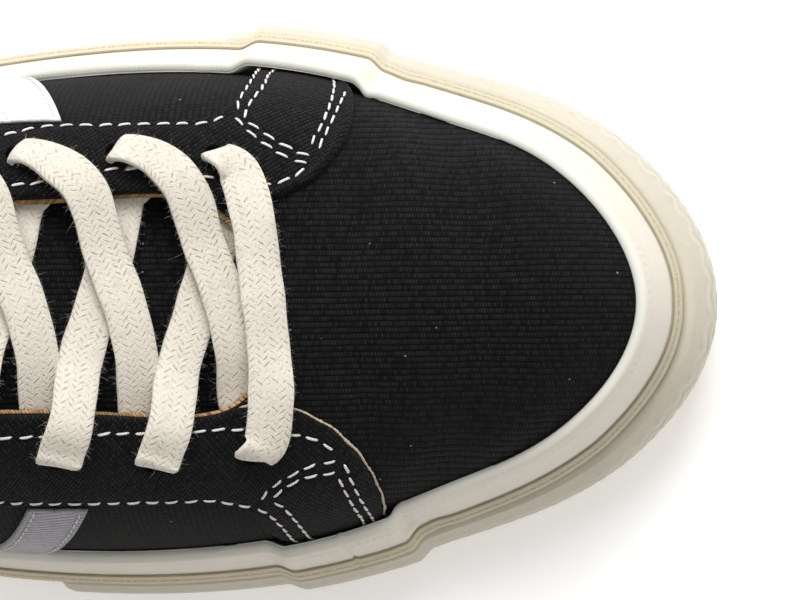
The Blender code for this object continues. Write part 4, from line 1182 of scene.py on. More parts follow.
def build_facings():
    """The two eyestays with their feet, and the heel counter."""
    made = []
    along, across = np.linspace(0, 1, 250), fine(38, 0.75)
    inner, inner_share, outer, outer_share, toewards, rise = open_spline(EYESTAY_ROWS, along).T[..., None]
    front = smooth_step(along, 0.40, 0.55)[:, None]
    for side in SIDES:
        shift, lift = (0.0, rise) if side == "medial" else (toewards, 0.0)
        station = side_stations(side, inner * (1 - across) + outer * across + shift)
        share = np.minimum(inner_share * (1 - across) + (outer_share + lift) * across, 1.0)
        paths = [stitch_path(side, line) for line in STITCH_LINES[side]]
        roll = (0.00055 if side == "medial" else 0.0001) * front
        mesh = overlay("facing_" + side, station, share, GAP, facing_thick(side), 0.0008, paths, roll)
        made.append(piece(mesh, "Black Twill", "facing_twill", "eyestay_" + side))
    punch_holes(*made)
    edge = open_spline(COUNTER_ROWS, np.linspace(0, 1, 50))
    station = edge[:, None, 0] * (fine(100, 0.5) * 2 - 1)
    share = np.broadcast_to(edge[:, None, 1], station.shape)
    mesh = overlay("counter_overlay", station, share, 1.3 * GAP, OVERLAY, 0.0008, counter_paths())
    piece(mesh, "Black Twill", "facing_twill", "heel_counter")


def counter_paths():
    """Two rows of stitches inside the counter's edge."""
    paths = []
    for inset in (0.10, 0.22):
        edge = open_spline(COUNTER_ROWS, np.linspace(0, 1, 60)) - [inset, 0.25 * inset]
        left = edge * [-1.0, 1.0]
        reach, high = edge[-1]
        top = np.stack([np.linspace(-reach, reach, 40)[1:-1], np.full(38, high)], -1)
        both = np.concatenate([left, top, edge[::-1]])
        paths.append((both[:, 0], both[:, 1]))
    return paths


def band_rows(side, count, inset=0.0):
    """Rear edge of a side band as station and share, carried a little under the foxing."""
    start = BAND_ROWS[0] + (BAND_ROWS[0] - BAND_ROWS[1]) * 0.14
    rows = np.vstack([start, BAND_ROWS[1:], BAND_TOP[side]])
    return open_spline(rows, np.linspace(0, 1, count)) + [inset + BAND_SHIFT[side], 0.0]


def build_bands():
    """The plain slanted bands of leather from the eyestays to the foxing."""
    for side in SIDES:
        rows = band_rows(side, 90)
        station = side_stations(side, rows[:, None, 0] + BAND_STATIONS * fine(30, 0.6))
        share = np.broadcast_to(rows[:, None, 1], station.shape)
        mesh = overlay("band_" + side, station, share, GAP, BAND_SHEET, 0.0005, band_paths(side))
        # The lateral band takes the darker copy of the white leather as painted shade.
        finish = "White Leather" if side == "medial" else "Shaded White Leather"
        piece(mesh, finish, "band_leather", "side_band_" + side)


def band_paths(side):
    """A row of stitches inside each long edge of a side band."""
    both = [band_rows(side, 80, inset) for inset in (0.05, BAND_STATIONS - 0.05)]
    return [(side_stations(side, rows[:, 0]), rows[:, 1]) for rows in both]


# Stitching


def run_along(points):
    """Length along a line of points at each of them."""
    return np.concatenate([[0.0], np.cumsum(np.linalg.norm(np.diff(points, axis=0), axis=1))])


def by_length(points, *others, step=0.0001):
    """Points at even steps along a line, with other arrays read at the same places."""
    run = run_along(points)
    even = np.arange(0.0, run[-1], step)
    columns = [[np.interp(even, run, column) for column in a.T] for a in (points, *others)]
    return even, [np.stack(a, -1) for a in columns]


def unit(vectors):
    """The vectors at length 1."""
    return vectors / np.linalg.norm(vectors, axis=-1, keepdims=True)


def stitch_mesh(name, lines, radius, length, pitch, slant=0.10, seed=3):
    """Stitches as rice-shaped beads along lines of points with normals.

    Each bead is a ring of eight points carried along it; its radius swells as the square root of a
    half sine, and it bows out of the cloth by its own radius and dips in at both ends."""
    chance = np.random.default_rng(seed)
    kept = []
    for points, facing in lines:
        even, (line, face) = by_length(points, facing)
        if even[-1] < length:
            continue
        count = int((even[-1] - length) / pitch) + 1
        start = (even[-1] - (count - 1) * pitch) / 2
        middle = start + np.arange(count) * pitch + chance.normal(0, 0.00006, count)
        at = np.clip((middle / 0.0001).astype(int), 12, len(line) - 13)
        kept.append((line[at], unit(line[at + 12] - line[at - 12]), unit(face[at])))
    centre, tangent, normal = (np.concatenate(a) for a in zip(*kept))
    side = unit(np.cross(normal, tangent))
    count = len(centre)
    tilt = slant + chance.normal(0, 0.05, count)
    tangent = unit(tangent + side * tilt[:, None])
    side = unit(np.cross(normal, tangent))
    long = length * (1 + chance.normal(0, 0.05, count))
    fat = radius * (1 + chance.normal(0, 0.06, count))
    t = np.linspace(-1, 1, 9)
    swell = np.sqrt(np.clip(1 - t**6, 0, 1)) * 0.92 + 0.08
    lift = 1.10 * (1 - np.abs(t) ** 3.0) - 0.45
    angle = ring_angles(8)
    spine = (
        centre[:, None]
        + tangent[:, None] * (0.5 * long[:, None] * t)[..., None]
        + normal[:, None] * (fat[:, None] * lift)[..., None]
    )
    round_side = (fat[:, None] * swell)[:, :, None] * np.cos(angle + math.pi / 8)
    round_up = (fat[:, None] * swell)[:, :, None] * np.sin(angle + math.pi / 8) * 0.8
    rings = ring_points(spine, side[:, None], normal[:, None], round_side, round_up)
    r, c = quad_corners(9, 8, False)
    quads = r * 8 + c % 8
    ends = np.array([[0, 1, 2, 3], [0, 3, 4, 7], [4, 5, 6, 7]])
    quads = np.concatenate([quads, ends, ends[:, ::-1] + 64])
    uv = grid_map(t * length / 2, np.linspace(0, 2, 9))
    one = np.concatenate([uv[r, c], np.zeros((6, 4, 2))])
    points = to_frame(rings).reshape(-1, 3)
    return mesh_from(name, points, joined_quads(quads, count, 72), np.tile(one, (count, 1, 1)))


def on_overlay(stations, shares, lift):
    """Points and normals of a stitch line on a sheet of the given height."""
    points = on_upper(stations, shares, np.full(len(stations), lift))
    return points, skin_normal(stations, shares)


def build_stitching():
    """White rows on the eyestays, the counter and the bands, and raw yarn along the lateral front edge."""
    sizes = bpy.context.scene.shoe_sizes
    plain = (sizes.thread_radius, sizes.stitch_length, sizes.stitch_pitch)
    sunk = 0.00012
    rows = {}
    for side in SIDES:
        paths = [stitch_path(side, line) for line in STITCH_LINES[side]]
        rows[side] = (paths, GAP + facing_thick(side) - sunk, plain, "facing_twill")
    rows["heel"] = (counter_paths(), 1.3 * GAP + OVERLAY - sunk, plain, "facing_twill")
    paths = [path for side in SIDES for path in band_paths(side)]
    rows["bands"] = (paths, GAP + BAND_SHEET - 0.0001, (0.00016, 0.0016, 0.0022), "band_leather")
    for name, (paths, height, stitch, slot) in rows.items():
        mesh = stitch_mesh("stitches_" + name, [on_overlay(*path, height) for path in paths], *stitch)
        piece(mesh, "White Thread", slot)
    rows = open_spline(EYESTAY_ROWS, np.linspace(0.47, 0.97, 160))
    station = side_stations("lateral", rows[:, 0] + rows[:, 4] + 0.015)
    centre = on_upper(station, np.minimum(rows[:, 1], 1.0), np.full(160, GAP + 0.00045))
    piece(tube_mesh("edge_yarn", centre, 0.00024, 0.00006, 5), "Raw Yarn", "lace_cotton")


def tube_mesh(name, centre, radius, wobble, seed):
    """A thin round yarn along a line, its radius varied by seeded noise; eight points round it."""
    chance = np.random.default_rng(seed)
    even, (line,) = by_length(centre, step=0.0004)
    along = unit(np.gradient(line, axis=0))
    side = unit(np.cross(along, [0.0, 0.0, 1.0]))
    up = np.cross(side, along)
    fat = radius + wobble * chance.normal(0, 1, len(line))
    fat[[0, -1]] *= 0.3
    line = line + side * (wobble * 1.5 * np.sin(even * 900.0))[:, None]
    angle = ring_angles(8)
    wide, tall = (fat[:, None] * turn(angle) for turn in (np.cos, np.sin))
    rings = ring_points(line, side, up, wide, tall)
    uv = grid_map(even, np.linspace(0, 2, 8))
    return carried_mesh(name, rings, False, uv)


# Rubber


RUN_STATIONS = np.linspace(0, AROUND, 1921)
RUN_PATH = feather(RUN_STATIONS)
RUN_LENGTH = run_along(RUN_PATH)


def run_at(station):
    """Length along the feather line from the heel to a station."""
    return np.interp(np.asarray(station, float), RUN_STATIONS, RUN_LENGTH)


def even_stations(count, low=0.0, high=AROUND, closed=True):
    """Stations at even lengths along the feather line."""
    lengths = np.linspace(run_at(low), run_at(high), count, endpoint=not closed)
    return np.interp(lengths, RUN_LENGTH, RUN_STATIONS)


def dents(stations, down):
    """How far the foxing's face is pressed in: a bell along it times a soft window down it, for each dent."""
    total = np.zeros((len(stations), down.shape[1]))
    run = run_at(stations)
    for station, half, depth, start, end in FOXING_DENTS:
        apart = (run - run_at(station))[:, None]
        window = rise_and_fall(down, start, start + 0.25, end - 0.25, end)
        total += depth * np.exp(-((apart / half) ** 2)) * window
    return total


def build_tape():
    """The foxing round the shoe: inner face on the upper, a rolled lip, and a face that slopes to its base."""
    stations = even_stations(960)
    foot, away = feather(stations), outward(stations)
    low = sole_bottom(foot[:, 0]) + OUTSOLE_EDGE + GAP
    top = foxing_top(foot[:, 0])
    cover, covered = overlay_cover(stations), foxing_share(stations)
    rings = [np.column_stack([foot + away * GAP, low])]
    for share, under in ((0.0, 0.2), (0.5, 1.0), (0.97, 1.0)):
        skin = upper_skin(stations, share * covered)
        skin[:, :2] += away * (GAP + under * cover)[:, None]
        rings.append(skin)
    inner = upper_skin(stations, covered)[:, :2] + away * (GAP + cover)[:, None]
    swell = 0.00012 * np.sin(run_at(stations) * 70.0) + 0.00006 * np.sin(run_at(stations) * 310.0 + 1.0)
    for angle in np.linspace(0.86, 0.02, 12) * math.pi:
        across = FOXING_LIP * (0.5 + 0.5 * math.cos(angle))
        z = top - 0.0010 + (0.0012 + swell) * math.sin(angle)
        rings.append(np.column_stack([inner + away * across, z]))
    bend = sole_bottom(foot[:, 0]) + STRIPE_LEVEL + STRIPE_TALL
    down = np.concatenate([np.full(16, -0.1), np.linspace(0.10, 1, 18), [1.2, 1.5, 2.0, 2.4]])
    for share in down[16:34]:
        z = top - 0.0010 + (bend - top + 0.0010) * share
        step = 0.00018 * smooth_step(share, 0.10, 0.24)
        rings.append(np.column_stack([rubber_side(stations, z) - away * step, z]))
    for share in (0.25, 0.5, 0.75, 1.0):
        z = bend * (1 - share) + low * share
        rings.append(np.column_stack([rubber_side(stations, z) - away * 0.00018 * (1 - share), z]))
    rings = np.stack(rings, 1)
    pressed = dents(stations, np.broadcast_to(down, rings.shape[:2]))
    pressed[:, :4] = 0
    pressed[:, -1] = 0
    rings[..., :2] -= away[:, None] * pressed[..., None]
    steps = np.linalg.norm(np.diff(rings[:, 4:], axis=1), axis=2).cumsum(1)
    down_map = np.concatenate([np.zeros((len(stations), 5)), steps], axis=1)
    along = np.append(run_at(stations), RUN_LENGTH[-1])
    uv = grid_map(along, wrapped(down_map))
    front = smooth_step(station_from_heel(stations), 8.2, 8.8)[:, None]
    mesh = carried_mesh("foxing_tape", rings, True, uv, front=front)
    piece(mesh, "Cream Foxing", "foxing_rubber", "foxing")


def build_strip():
    """The narrow grooved strip round the foxing, rounded at its edges."""
    stations = even_stations(900)
    foot, away = feather(stations), outward(stations)
    level = sole_bottom(foot[:, 0]) + STRIPE_LEVEL
    share = np.concatenate([[0.0], np.linspace(0, 1, 24), [1.0]])
    places, reaches = [0, 0.02, 0.06, 0.12, 0.40, 0.52, 0.94, 1.0], [0.6, 0.86, 0.97, 1.0, 1.0, 0.93, 0.02, -0.28]
    reach = np.interp(share, places, reaches)
    reach[[0, -1]] = -0.28
    reach = reach - 0.16 * np.exp(-(((share - 0.74) / 0.030) ** 2))
    across = np.clip((share - 0.50) / 0.44, 0, 1)
    uneven = STRIPE_THICK * (1 + 0.04 * np.sin(run_at(stations) * 240.0))
    rings = []
    for part_way, out in zip(share, reach):
        z = level + part_way * STRIPE_TALL * 1.5
        flat = rubber_side(stations, z) + away * (GAP + out * uneven)[:, None]
        rings.append(np.column_stack([flat, z]))
    rings = np.stack(rings, 1)
    rings[..., :2] -= away[:, None] * dents(stations, np.full((len(stations), 1), 0.9))[..., None]
    along = np.append(run_at(stations), RUN_LENGTH[-1])
    uv = grid_map(along, share * STRIPE_TALL)
    front = smooth_step(station_from_heel(stations), 8.4, 10.2)[:, None]
    mesh = carried_mesh("foxing_strip", rings, True, uv, across=across, front=front)
    piece(mesh, "Tan Stripe", "stripe_rubber", "foxing_stripe")


def build_bumper():
    """The toe strip: a plain slope above, a moulded lattice of slanted studs outside, rounded tails."""
    low_station, high_station = BUMPER_TAIL_LATERAL + 0.02, AROUND - BUMPER_TAIL_MEDIAL - 0.02
    stations = even_stations(860, low_station, high_station, closed=False)
    foot, away = feather(stations), outward(stations)
    low = sole_bottom(foot[:, 0]) + OUTSOLE_EDGE + GAP
    top = sole_bottom(foot[:, 0]) + STRIPE_LEVEL - GAP
    run = run_at(stations)
    ends = np.minimum(run - run[0], run[-1] - run)
    depth = bumper_depth(stations) * (0.30 + 0.70 * rim(ends, 0.0024))
    share = np.concatenate([[0.0, 0.5], 1 - np.linspace(0, 1, 30) ** 1.05])
    reach = np.interp(share, [0, 0.25, 0.62, 0.97, 1.0], [0.97, 1.0, 0.86, 0.45, 0.0])
    reach[:2] = 0.0
    height = top - low
    face = np.broadcast_to(1 - smooth_step(share, 0.66, 0.80), (len(run), len(share)))
    face = face * smooth_step(share, 0.04, 0.12)
    tip = rise_and_fall(stations, 8.8, 9.9, 14.9, 16.3)
    strong = 0.30 + 0.70 * rise_and_fall(stations, 10.4, 11.5, 13.3, 14.3)
    drift = 0.30 * np.sin(run * 410.0) + 0.22 * np.sin(run * 1130.0 + 1.0)
    u = run[:, None] / 0.0044 + 0.12 * drift[:, None]
    v = share[None] * height[:, None] / 0.0031
    zigzag = np.abs(2 * np.mod(u, 1.0) - 1)
    lattice = np.cos(2 * math.pi * (v - 0.55 * zigzag + 0.10 * drift[:, None]))
    stud = lattice * (0.75 + 0.25 * np.sin(run * 900.0))[:, None] * face * (tip * strong)[:, None]
    stud[:, :2] = 0
    rings = []
    for k, (s, r) in enumerate(zip(share, reach)):
        z = low + s * height
        amount = GAP + r * depth + 0.00018 * (stud[:, k] - np.abs(stud[:, k]) * 0.9)
        rings.append(np.column_stack([rubber_side(stations, z) + away * amount[:, None], z]))
    rings = np.stack(rings, 1)
    uv = grid_map(run, share * height[:, None])
    mesh = carried_mesh("bumper_strip", rings, False, uv, stud=stud)
    piece(mesh, "Toe Rubber", "foxing_rubber", "toe_bumper")


def tread_depth(x, y):
    """Depth cut into the bottom: main grooves right across, and a finer brick of slots between them."""
    start = LOW_LIMIT[0] + 0.5 * GROOVE_PITCH
    number = np.floor((0.76 * LAST_LENGTH - start) / GROOVE_PITCH)
    nearest = np.clip(np.round((x - start) / GROOVE_PITCH), 0, number)
    away = np.abs(x - start - nearest * GROOVE_PITCH)
    main_groove = GROOVE_DEPTH * (1 - smooth_step(away, GROOVE_WIDTH / 2 - 0.0002, GROOVE_WIDTH / 2 + 0.0003))
    row = np.floor(x / 0.0050)
    in_row = np.abs(x / 0.0050 - row - 0.5) * 0.0050
    brick = np.abs(np.mod(y / 0.0092 + 0.5 * np.mod(row, 2), 1.0) - 0.5) * 0.0092
    slot = np.maximum(smooth_step(in_row, 0.0019, 0.0023), smooth_step(brick, 0.0039, 0.0044))
    return np.maximum(main_groove, 0.0007 * slot)


def build_outsole():
    """The rubber bottom: body inside the foxing, flange with a rounded lower edge, and the cut tread."""
    every = np.linspace(0, HALF, 961)
    even = np.linspace(0, 1, 440)
    half = 0.35 * HALF * even + 0.65 * np.interp(even * LAST_LENGTH, feather(every)[:, 0], every)
    rings = []
    for station in (half, AROUND - half):
        foot, away = feather(station), outward(station)
        bottom = sole_bottom(foot[:, 0])
        edge = foxing_spread(station) + np.where(has_bumper(station), 0.93 * bumper_depth(station), 0.0)
        ring = [(0.0, sole_top(foot[:, 0])), (0.0, bottom + OUTSOLE_EDGE), (edge, bottom + OUTSOLE_EDGE)]
        ring += [(edge, bottom + 0.0016), (edge - 0.00002, bottom + 0.0008)]
        ring += [(edge - 0.0003, bottom + 0.0003), (edge - 0.0008, bottom)]
        reaches = [np.broadcast_to(reach, bottom.shape)[:, None] for reach, _ in ring]
        rings.append([np.column_stack([foot + away * reach, z]) for reach, (_, z) in zip(reaches, ring)])
    first, last = rings[0][-1], rings[1][-1]
    between = [first * (1 - t) + last * t for t in np.linspace(0, 1, 80)[1:-1]]
    rows = np.stack(rings[0] + between + rings[1][::-1], 1)
    flat = np.zeros(rows.shape[:2])
    flat[:, 3:-3] = 1.0
    rows[..., 2] += np.minimum(tread_depth(rows[..., 0], rows[..., 1]), 0.0013) * flat
    mesh = carried_mesh("tread_sole", rows, False, rows[..., :2])
    piece(mesh, "Tread Rubber", "outsole_rubber", "outsole")


def build_insole():
    """The cotton sock on the sole, its edge rounded down."""
    half = np.linspace(0, HALF, 160)
    inset = WALL + 2 * GAP
    sides = [feather(s) - outward(s) * inset for s in (half, AROUND - half)]
    across = fine(40, 0.7)
    flat = sides[0][:, None] * (1 - across[:, None]) + sides[1][:, None] * across[:, None]
    level = sole_top(flat[..., 0]) + GAP
    reach = np.linalg.norm(sides[0] - sides[1], axis=1)[:, None] * np.minimum(across, 1 - across)
    tall = INSOLE_THICK * (0.55 + 0.45 * rim(reach, 0.0035))
    tall = tall - 0.0005 * (1 + np.sin(flat[..., 0] * 60.0) * np.cos(flat[..., 1] * 70.0)) * rim(reach, 0.012)
    under = np.concatenate([flat, level[..., None]], -1)
    over = np.concatenate([flat, (level + tall)[..., None]], -1)
    mesh = carried_mesh("insole_sock", rings_between(over, under), False, rings_between(flat, flat))
    piece(mesh, "Insole Cotton", "insole_cloth", "insole")


# Tongue and laces


def tongue_grid(along, across, depth):
    """Points of the tongue: arched across, on its own centre line, at depth below its top face."""
    rows = open_spline(TONGUE_ROWS, along)
    before, after = np.maximum(along - 0.01, 0), np.minimum(along + 0.01, 1)
    slope = open_spline(TONGUE_ROWS, after) - open_spline(TONGUE_ROWS, before)
    rise = unit(np.stack([slope[:, 0] * LAST_LENGTH, slope[:, 1] * INSTEP_HEIGHT], -1))
    half = rows[:, 2] * BALL_WIDTH
    y = half[:, None] * across
    down = TONGUE_ARCH * np.abs(y / TONGUE_ARCH_HALF) ** 2.4 + depth
    x = rows[:, None, 0] * LAST_LENGTH - THROAT_TURN * y + rise[:, None, 1] * down
    z = rows[:, None, 1] * INSTEP_HEIGHT + rise[:, None, 0] * down
    return np.stack([x, y, z], -1)


def build_tongue():
    """The padded tongue: thinner at its sides and ends, a bound edge, and two quilting lines along it."""
    along = fine(130, 0.6)
    across = fine(50, 0.7) * 2 - 1
    half = open_spline(TONGUE_ROWS, along)[:, 2] * BALL_WIDTH
    from_side = half[:, None] * (1 - np.abs(across))
    from_end = (1 - along)[:, None] * 0.16 + 0 * from_side
    near = np.minimum(from_side, from_end)
    round_in = 0.45 * TONGUE_THICK * (1 - 0.45 * np.abs(across) ** 4) * (1 - rim(near, 0.0022))
    quilt = 0.0003 * np.exp(-(((from_side - 0.0062) / 0.0008) ** 2))
    ripple = 0.00015 * (np.sin(along * 47.0)[:, None] * np.cos(across * 5.0)[None, :] + 1)
    over = tongue_grid(along, across, round_in + quilt + ripple)
    under = tongue_grid(along, across, TONGUE_THICK * (1 - 0.45 * np.abs(across) ** 4) - round_in)
    rings = rings_between(over, under)
    mesh = carried_mesh("tongue_cloth", rings, False, rings[..., :2])
    piece(mesh, "Black Canvas", "canvas", "tongue")


def edge_station(side, x):
    """Station where a side of the throat's edge is at x."""
    stations = side_stations(side, np.linspace(5.6, 9.9, 216))
    return float(stations[np.abs(edge_point(stations)[:, 0] - x).argmin()])


def over_end(side, pair, lean):
    """Route from inside an eyelet, up and over the eyestay, to where the lace leaves the throat's edge."""
    station, share, hole, normal = eyelet(side, pair)
    top = OVERLAY + 3 * GAP + LACE_THICK / 2
    leave = edge_station(side, hole[0] + lean)
    edge = lifted(leave, 0.985, top + 0.0006)
    toward = edge - hole
    toward = unit(toward - normal * (toward @ normal))
    early = 0.45 if side == "medial" else 0.30
    way = station + (leave - station) * early
    climb = lifted(way, share + (0.985 - share) * 0.32, top + 0.0005)
    return [
        (hole - normal * 0.0036, -toward),
        (hole - normal * 0.0006, -toward),
        (hole + normal * (top + 0.0007) + toward * 0.0009, normal * 0.8 - toward * 0.6),
        (climb, skin_normal(way, share)),
        (edge, skin_normal(leave, 0.985)),
    ]


def under_end(side, pair, lean):
    """Route from the throat's edge, along inside the upper, to under the next eyelet."""
    station, share, hole, normal = eyelet(side, pair)
    leave = edge_station(side, hole[0] + lean)
    low = -(WALL + 2 * GAP + LACE_THICK / 2 + 0.0003)
    way = 0.5 * (leave + station)
    middle = 0.5 * (0.93 + share)
    return [
        (lifted(leave, 0.985, low), skin_normal(leave, 0.985)),
        (lifted(leave, 0.93, low), skin_normal(leave, 0.93)),
        (lifted(way, middle, low), skin_normal(way, middle)),
        (hole + normal * (low - 0.0014), normal),
    ]


def across_throat(start, end, heights, bow):
    """Route points between two places on the throat's edge, at heights above the line between them."""
    points = []
    for k, height in enumerate(heights):
        share = (k + 1) / (len(heights) + 1)
        point = start * (1 - share) + end * share
        point = point + np.array([bow * math.sin(math.pi * share), 0.0, height])
        points.append((point, np.array([0.37, 0.0, 0.93])))
    return points


def edge_near(side, pair, lean):
    """The throat's edge beside an eyelet, the lean further along the shoe."""
    return edge_point(edge_station(side, eyelet(side, pair)[2][0] + lean))


def end_widths(side, width):
    """Widths of the lace over its first route points: drawn together in the eyelet."""
    shares = (0.50, 0.54, 0.72, 0.97, 1.0) if side == "medial" else (0.55, 0.62, 0.98, 1.04, 1.02)
    return [width * s for s in shares]


def ribbon(route, widths, seed):
    """Rings of a flat lace along a route, and its map: along the lace, and across it from -1 to 1."""
    sizes = bpy.context.scene.shoe_sizes
    chance = np.random.default_rng(seed)
    even = np.linspace(0, 1, 900)
    centre = open_spline(np.array([p for p, _ in route]), even)
    face = open_spline(np.array([n for _, n in route]), even)
    width = open_spline(np.array(widths)[:, None], even)[:, 0]
    run = run_along(centre)
    lengths = np.arange(0.0, run[-1], 0.00040)
    centre, face = (np.stack([np.interp(lengths, run, column) for column in a.T], -1) for a in (centre, face))
    window = np.hanning(13)[1:-1] / np.hanning(13).sum()
    for k in (0, 1):
        centre[:, k] = np.convolve(np.pad(centre[:, k], 5, "reflect", reflect_type="odd"), window, "valid")
    width = np.interp(lengths, run, width)
    along = unit(np.gradient(centre, axis=0))
    across = unit(np.cross(face, along))
    normal = np.cross(along, across)
    shift = chance.uniform(0, 6.28, 4)
    width = width * (1 + 0.018 * np.sin(lengths * 310 + shift[0]) + 0.012 * np.sin(lengths * 730 + shift[1]))
    angle = ring_angles(LACE_AROUND)
    cosine, sine = np.cos(angle), np.sin(angle)
    flat = np.sign(cosine) * np.abs(cosine) ** 0.70
    tall = np.sign(sine) * np.abs(sine) ** 0.42
    squeeze = 1 + 0.5 * (1 - np.clip(width / sizes.lace_width, 0.3, 1))
    thick = 0.5 * sizes.lace_thickness * squeeze * (1 + 0.05 * np.sin(lengths * 420 + shift[2]))
    up = thick[:, None] * tall[None]
    out = 0.5 * width[:, None] * flat[None]
    cup = 0.00030 * np.sin(lengths * 160 + shift[3])[:, None] * (flat[None] ** 2 - 0.4)
    rings = ring_points(centre, across, normal, out, up + cup)
    tip = 1 - 0.5 * np.exp(-((np.minimum(lengths, lengths[-1] - lengths) / 0.0003) ** 2))
    rings = centre[:, None] + (rings - centre[:, None]) * tip[:, None, None]
    return rings, grid_map(lengths, flat)


def joined_ribbons(name, parts):
    """One mesh of several ribbons, each facing out."""
    points, quads, maps, start = [], [], [], 0
    for rings, uv in parts:
        every = open_quads(*rings.shape[:2])
        placed = to_frame(rings).reshape(-1, 3)
        if signed_volume(placed, every) < 0:
            every = every[:, ::-1]
        points.append(placed)
        quads.append(every + start)
        maps.append(uv.reshape(-1, 2)[every])
        start += len(placed)
    return mesh_from(name, np.concatenate(points), np.concatenate(quads), np.concatenate(maps))


def lace_strands():
    """Every strand by the node that it stands for."""
    width = bpy.context.scene.shoe_sizes.lace_width
    strands = {}
    ends = [over_end(side, 0, BAR_LEAN[side]) for side in ("medial", "lateral")]
    edges = [edge_near(side, 0, BAR_LEAN[side]) for side in ("medial", "lateral")]
    route = ends[0] + across_throat(*edges, BAR_DRAPE, 0.0) + ends[1][::-1]
    for k, shift in enumerate(BAR_SHIFT):
        point, facing = route[k + 3]
        route[k + 3] = (point + [shift, 0.0, 0.0], facing)
    widths = end_widths("medial", width) + [width] * len(BAR_DRAPE) + end_widths("lateral", width)[::-1]
    strands["lace_bar"] = [ribbon(route, widths, 1)]
    for pair in range(1, EYELET_PAIRS):
        made = []
        for side, other in (("medial", "lateral"), ("lateral", "medial")):
            over, under = OVER_LEAN[side], UNDER_LEAN[other]
            start, end = edge_near(side, pair, over), edge_near(other, pair - 1, under)
            between = across_throat(start, end, OVER_DRAPE[side], LACE_BOW[side])
            route = over_end(side, pair, over) + between + under_end(other, pair - 1, under)
            widths = end_widths(side, width) + [width] * (len(route) - 6) + [0.5 * width]
            made.append(ribbon(route, widths, 10 * pair + len(made)))
        strands[f"lace_cross_{pair}"] = made
    return strands


def hair_mesh(name, roots, directions, lengths, radius, curl, seed, steps=6):
    """Short curved hairs: three-sided tubes of a few rings that bend steadily to one side."""
    chance = np.random.default_rng(seed)
    count = len(roots)
    direction = unit(directions)
    side = unit(np.cross(direction, chance.normal(size=(count, 3))))
    bend = curl * chance.normal(0.6, 0.5, count)
    t = np.linspace(0, 1, steps)
    angle = bend[:, None] * t
    straight = np.abs(bend[:, None]) < 1e-3
    turn = np.where(straight, 1, bend[:, None])
    forward = np.where(straight, t, np.sin(angle) / turn)
    sideways = (1 - np.cos(angle)) / turn
    bent = direction[:, None] * forward[..., None] + side[:, None] * sideways[..., None]
    spine = roots[:, None] + bent * lengths[:, None, None]
    third = np.cross(direction, side)
    ring = ring_angles(3)
    fat = radius * (1 - 0.55 * t)
    wide, tall = fat[:, None] * np.cos(ring), fat[:, None] * np.sin(ring)
    rings = ring_points(spine, side[:, None], third[:, None], wide, tall)
    r, c = quad_corners(steps, 3, False)
    quads = r * 3 + c % 3
    caps = np.array([[0, 2, 1], [3 * steps - 3, 3 * steps - 2, 3 * steps - 1]])
    points = rings.reshape(-1, 3)
    every, ends = joined_quads(quads, count, 3 * steps), joined_quads(caps, count, 3 * steps)
    if signed_volume(points[: 3 * steps], quads) < 0:
        every, ends = every[:, ::-1], ends[:, ::-1]
    corners = np.concatenate([every.ravel(), ends.ravel()])
    starts = np.concatenate([np.arange(len(every)) * 4, every.size + np.arange(len(ends)) * 3])
    mesh = fill_mesh(name, points, corners, starts)
    mesh.update(calc_edges=True)
    return mesh


def build_laces():
    """Flat braided cotton laces through the eyelets, with a haze of short fibres and a few long curls."""
    chance = np.random.default_rng(21)
    haze, curls = [], []
    near_rim = np.arange(-4, 5)
    rims = np.concatenate([near_rim, LACE_AROUND // 2 + near_rim]) % LACE_AROUND
    for name, parts in lace_strands().items():
        mesh = joined_ribbons(name.replace("lace", "braid"), parts)
        piece(mesh, "Cream Cotton", "lace_cotton", name)
        for rings, _ in parts:
            shown = rings[18 : int(len(rings) * 0.86)]
            middle = shown.mean(1)
            for kept, count, share in ((haze, 950, 0.72), (curls, 26, 0.85)):
                i = chance.integers(0, len(shown), count)
                at_rim = chance.random(count) < share
                k = np.where(at_rim, chance.choice(rims, count), chance.integers(0, LACE_AROUND, count))
                out = unit(shown[i, k] - middle[i]) + chance.normal(0, 0.60, (count, 3))
                kept.append(np.stack([to_frame(shown[i, k]), out]))
    for name, kept, scale, radius, curl, steps in (
        ("lace_fuzz", haze, 0.00030, 0.000022, 1.8, 3),
        ("lace_curls", curls, 0.00075, 0.000022, 5.0, 12),
    ):
        roots, directions = np.concatenate(kept, axis=1)
        lengths = chance.gamma(2.4, scale, len(roots))
        mesh = hair_mesh(name, roots - unit(directions) * 0.0001, directions, lengths, radius, curl, 4, steps)
        piece(mesh, "Cotton Fibre", "lace_cotton")


# Floor, light and camera


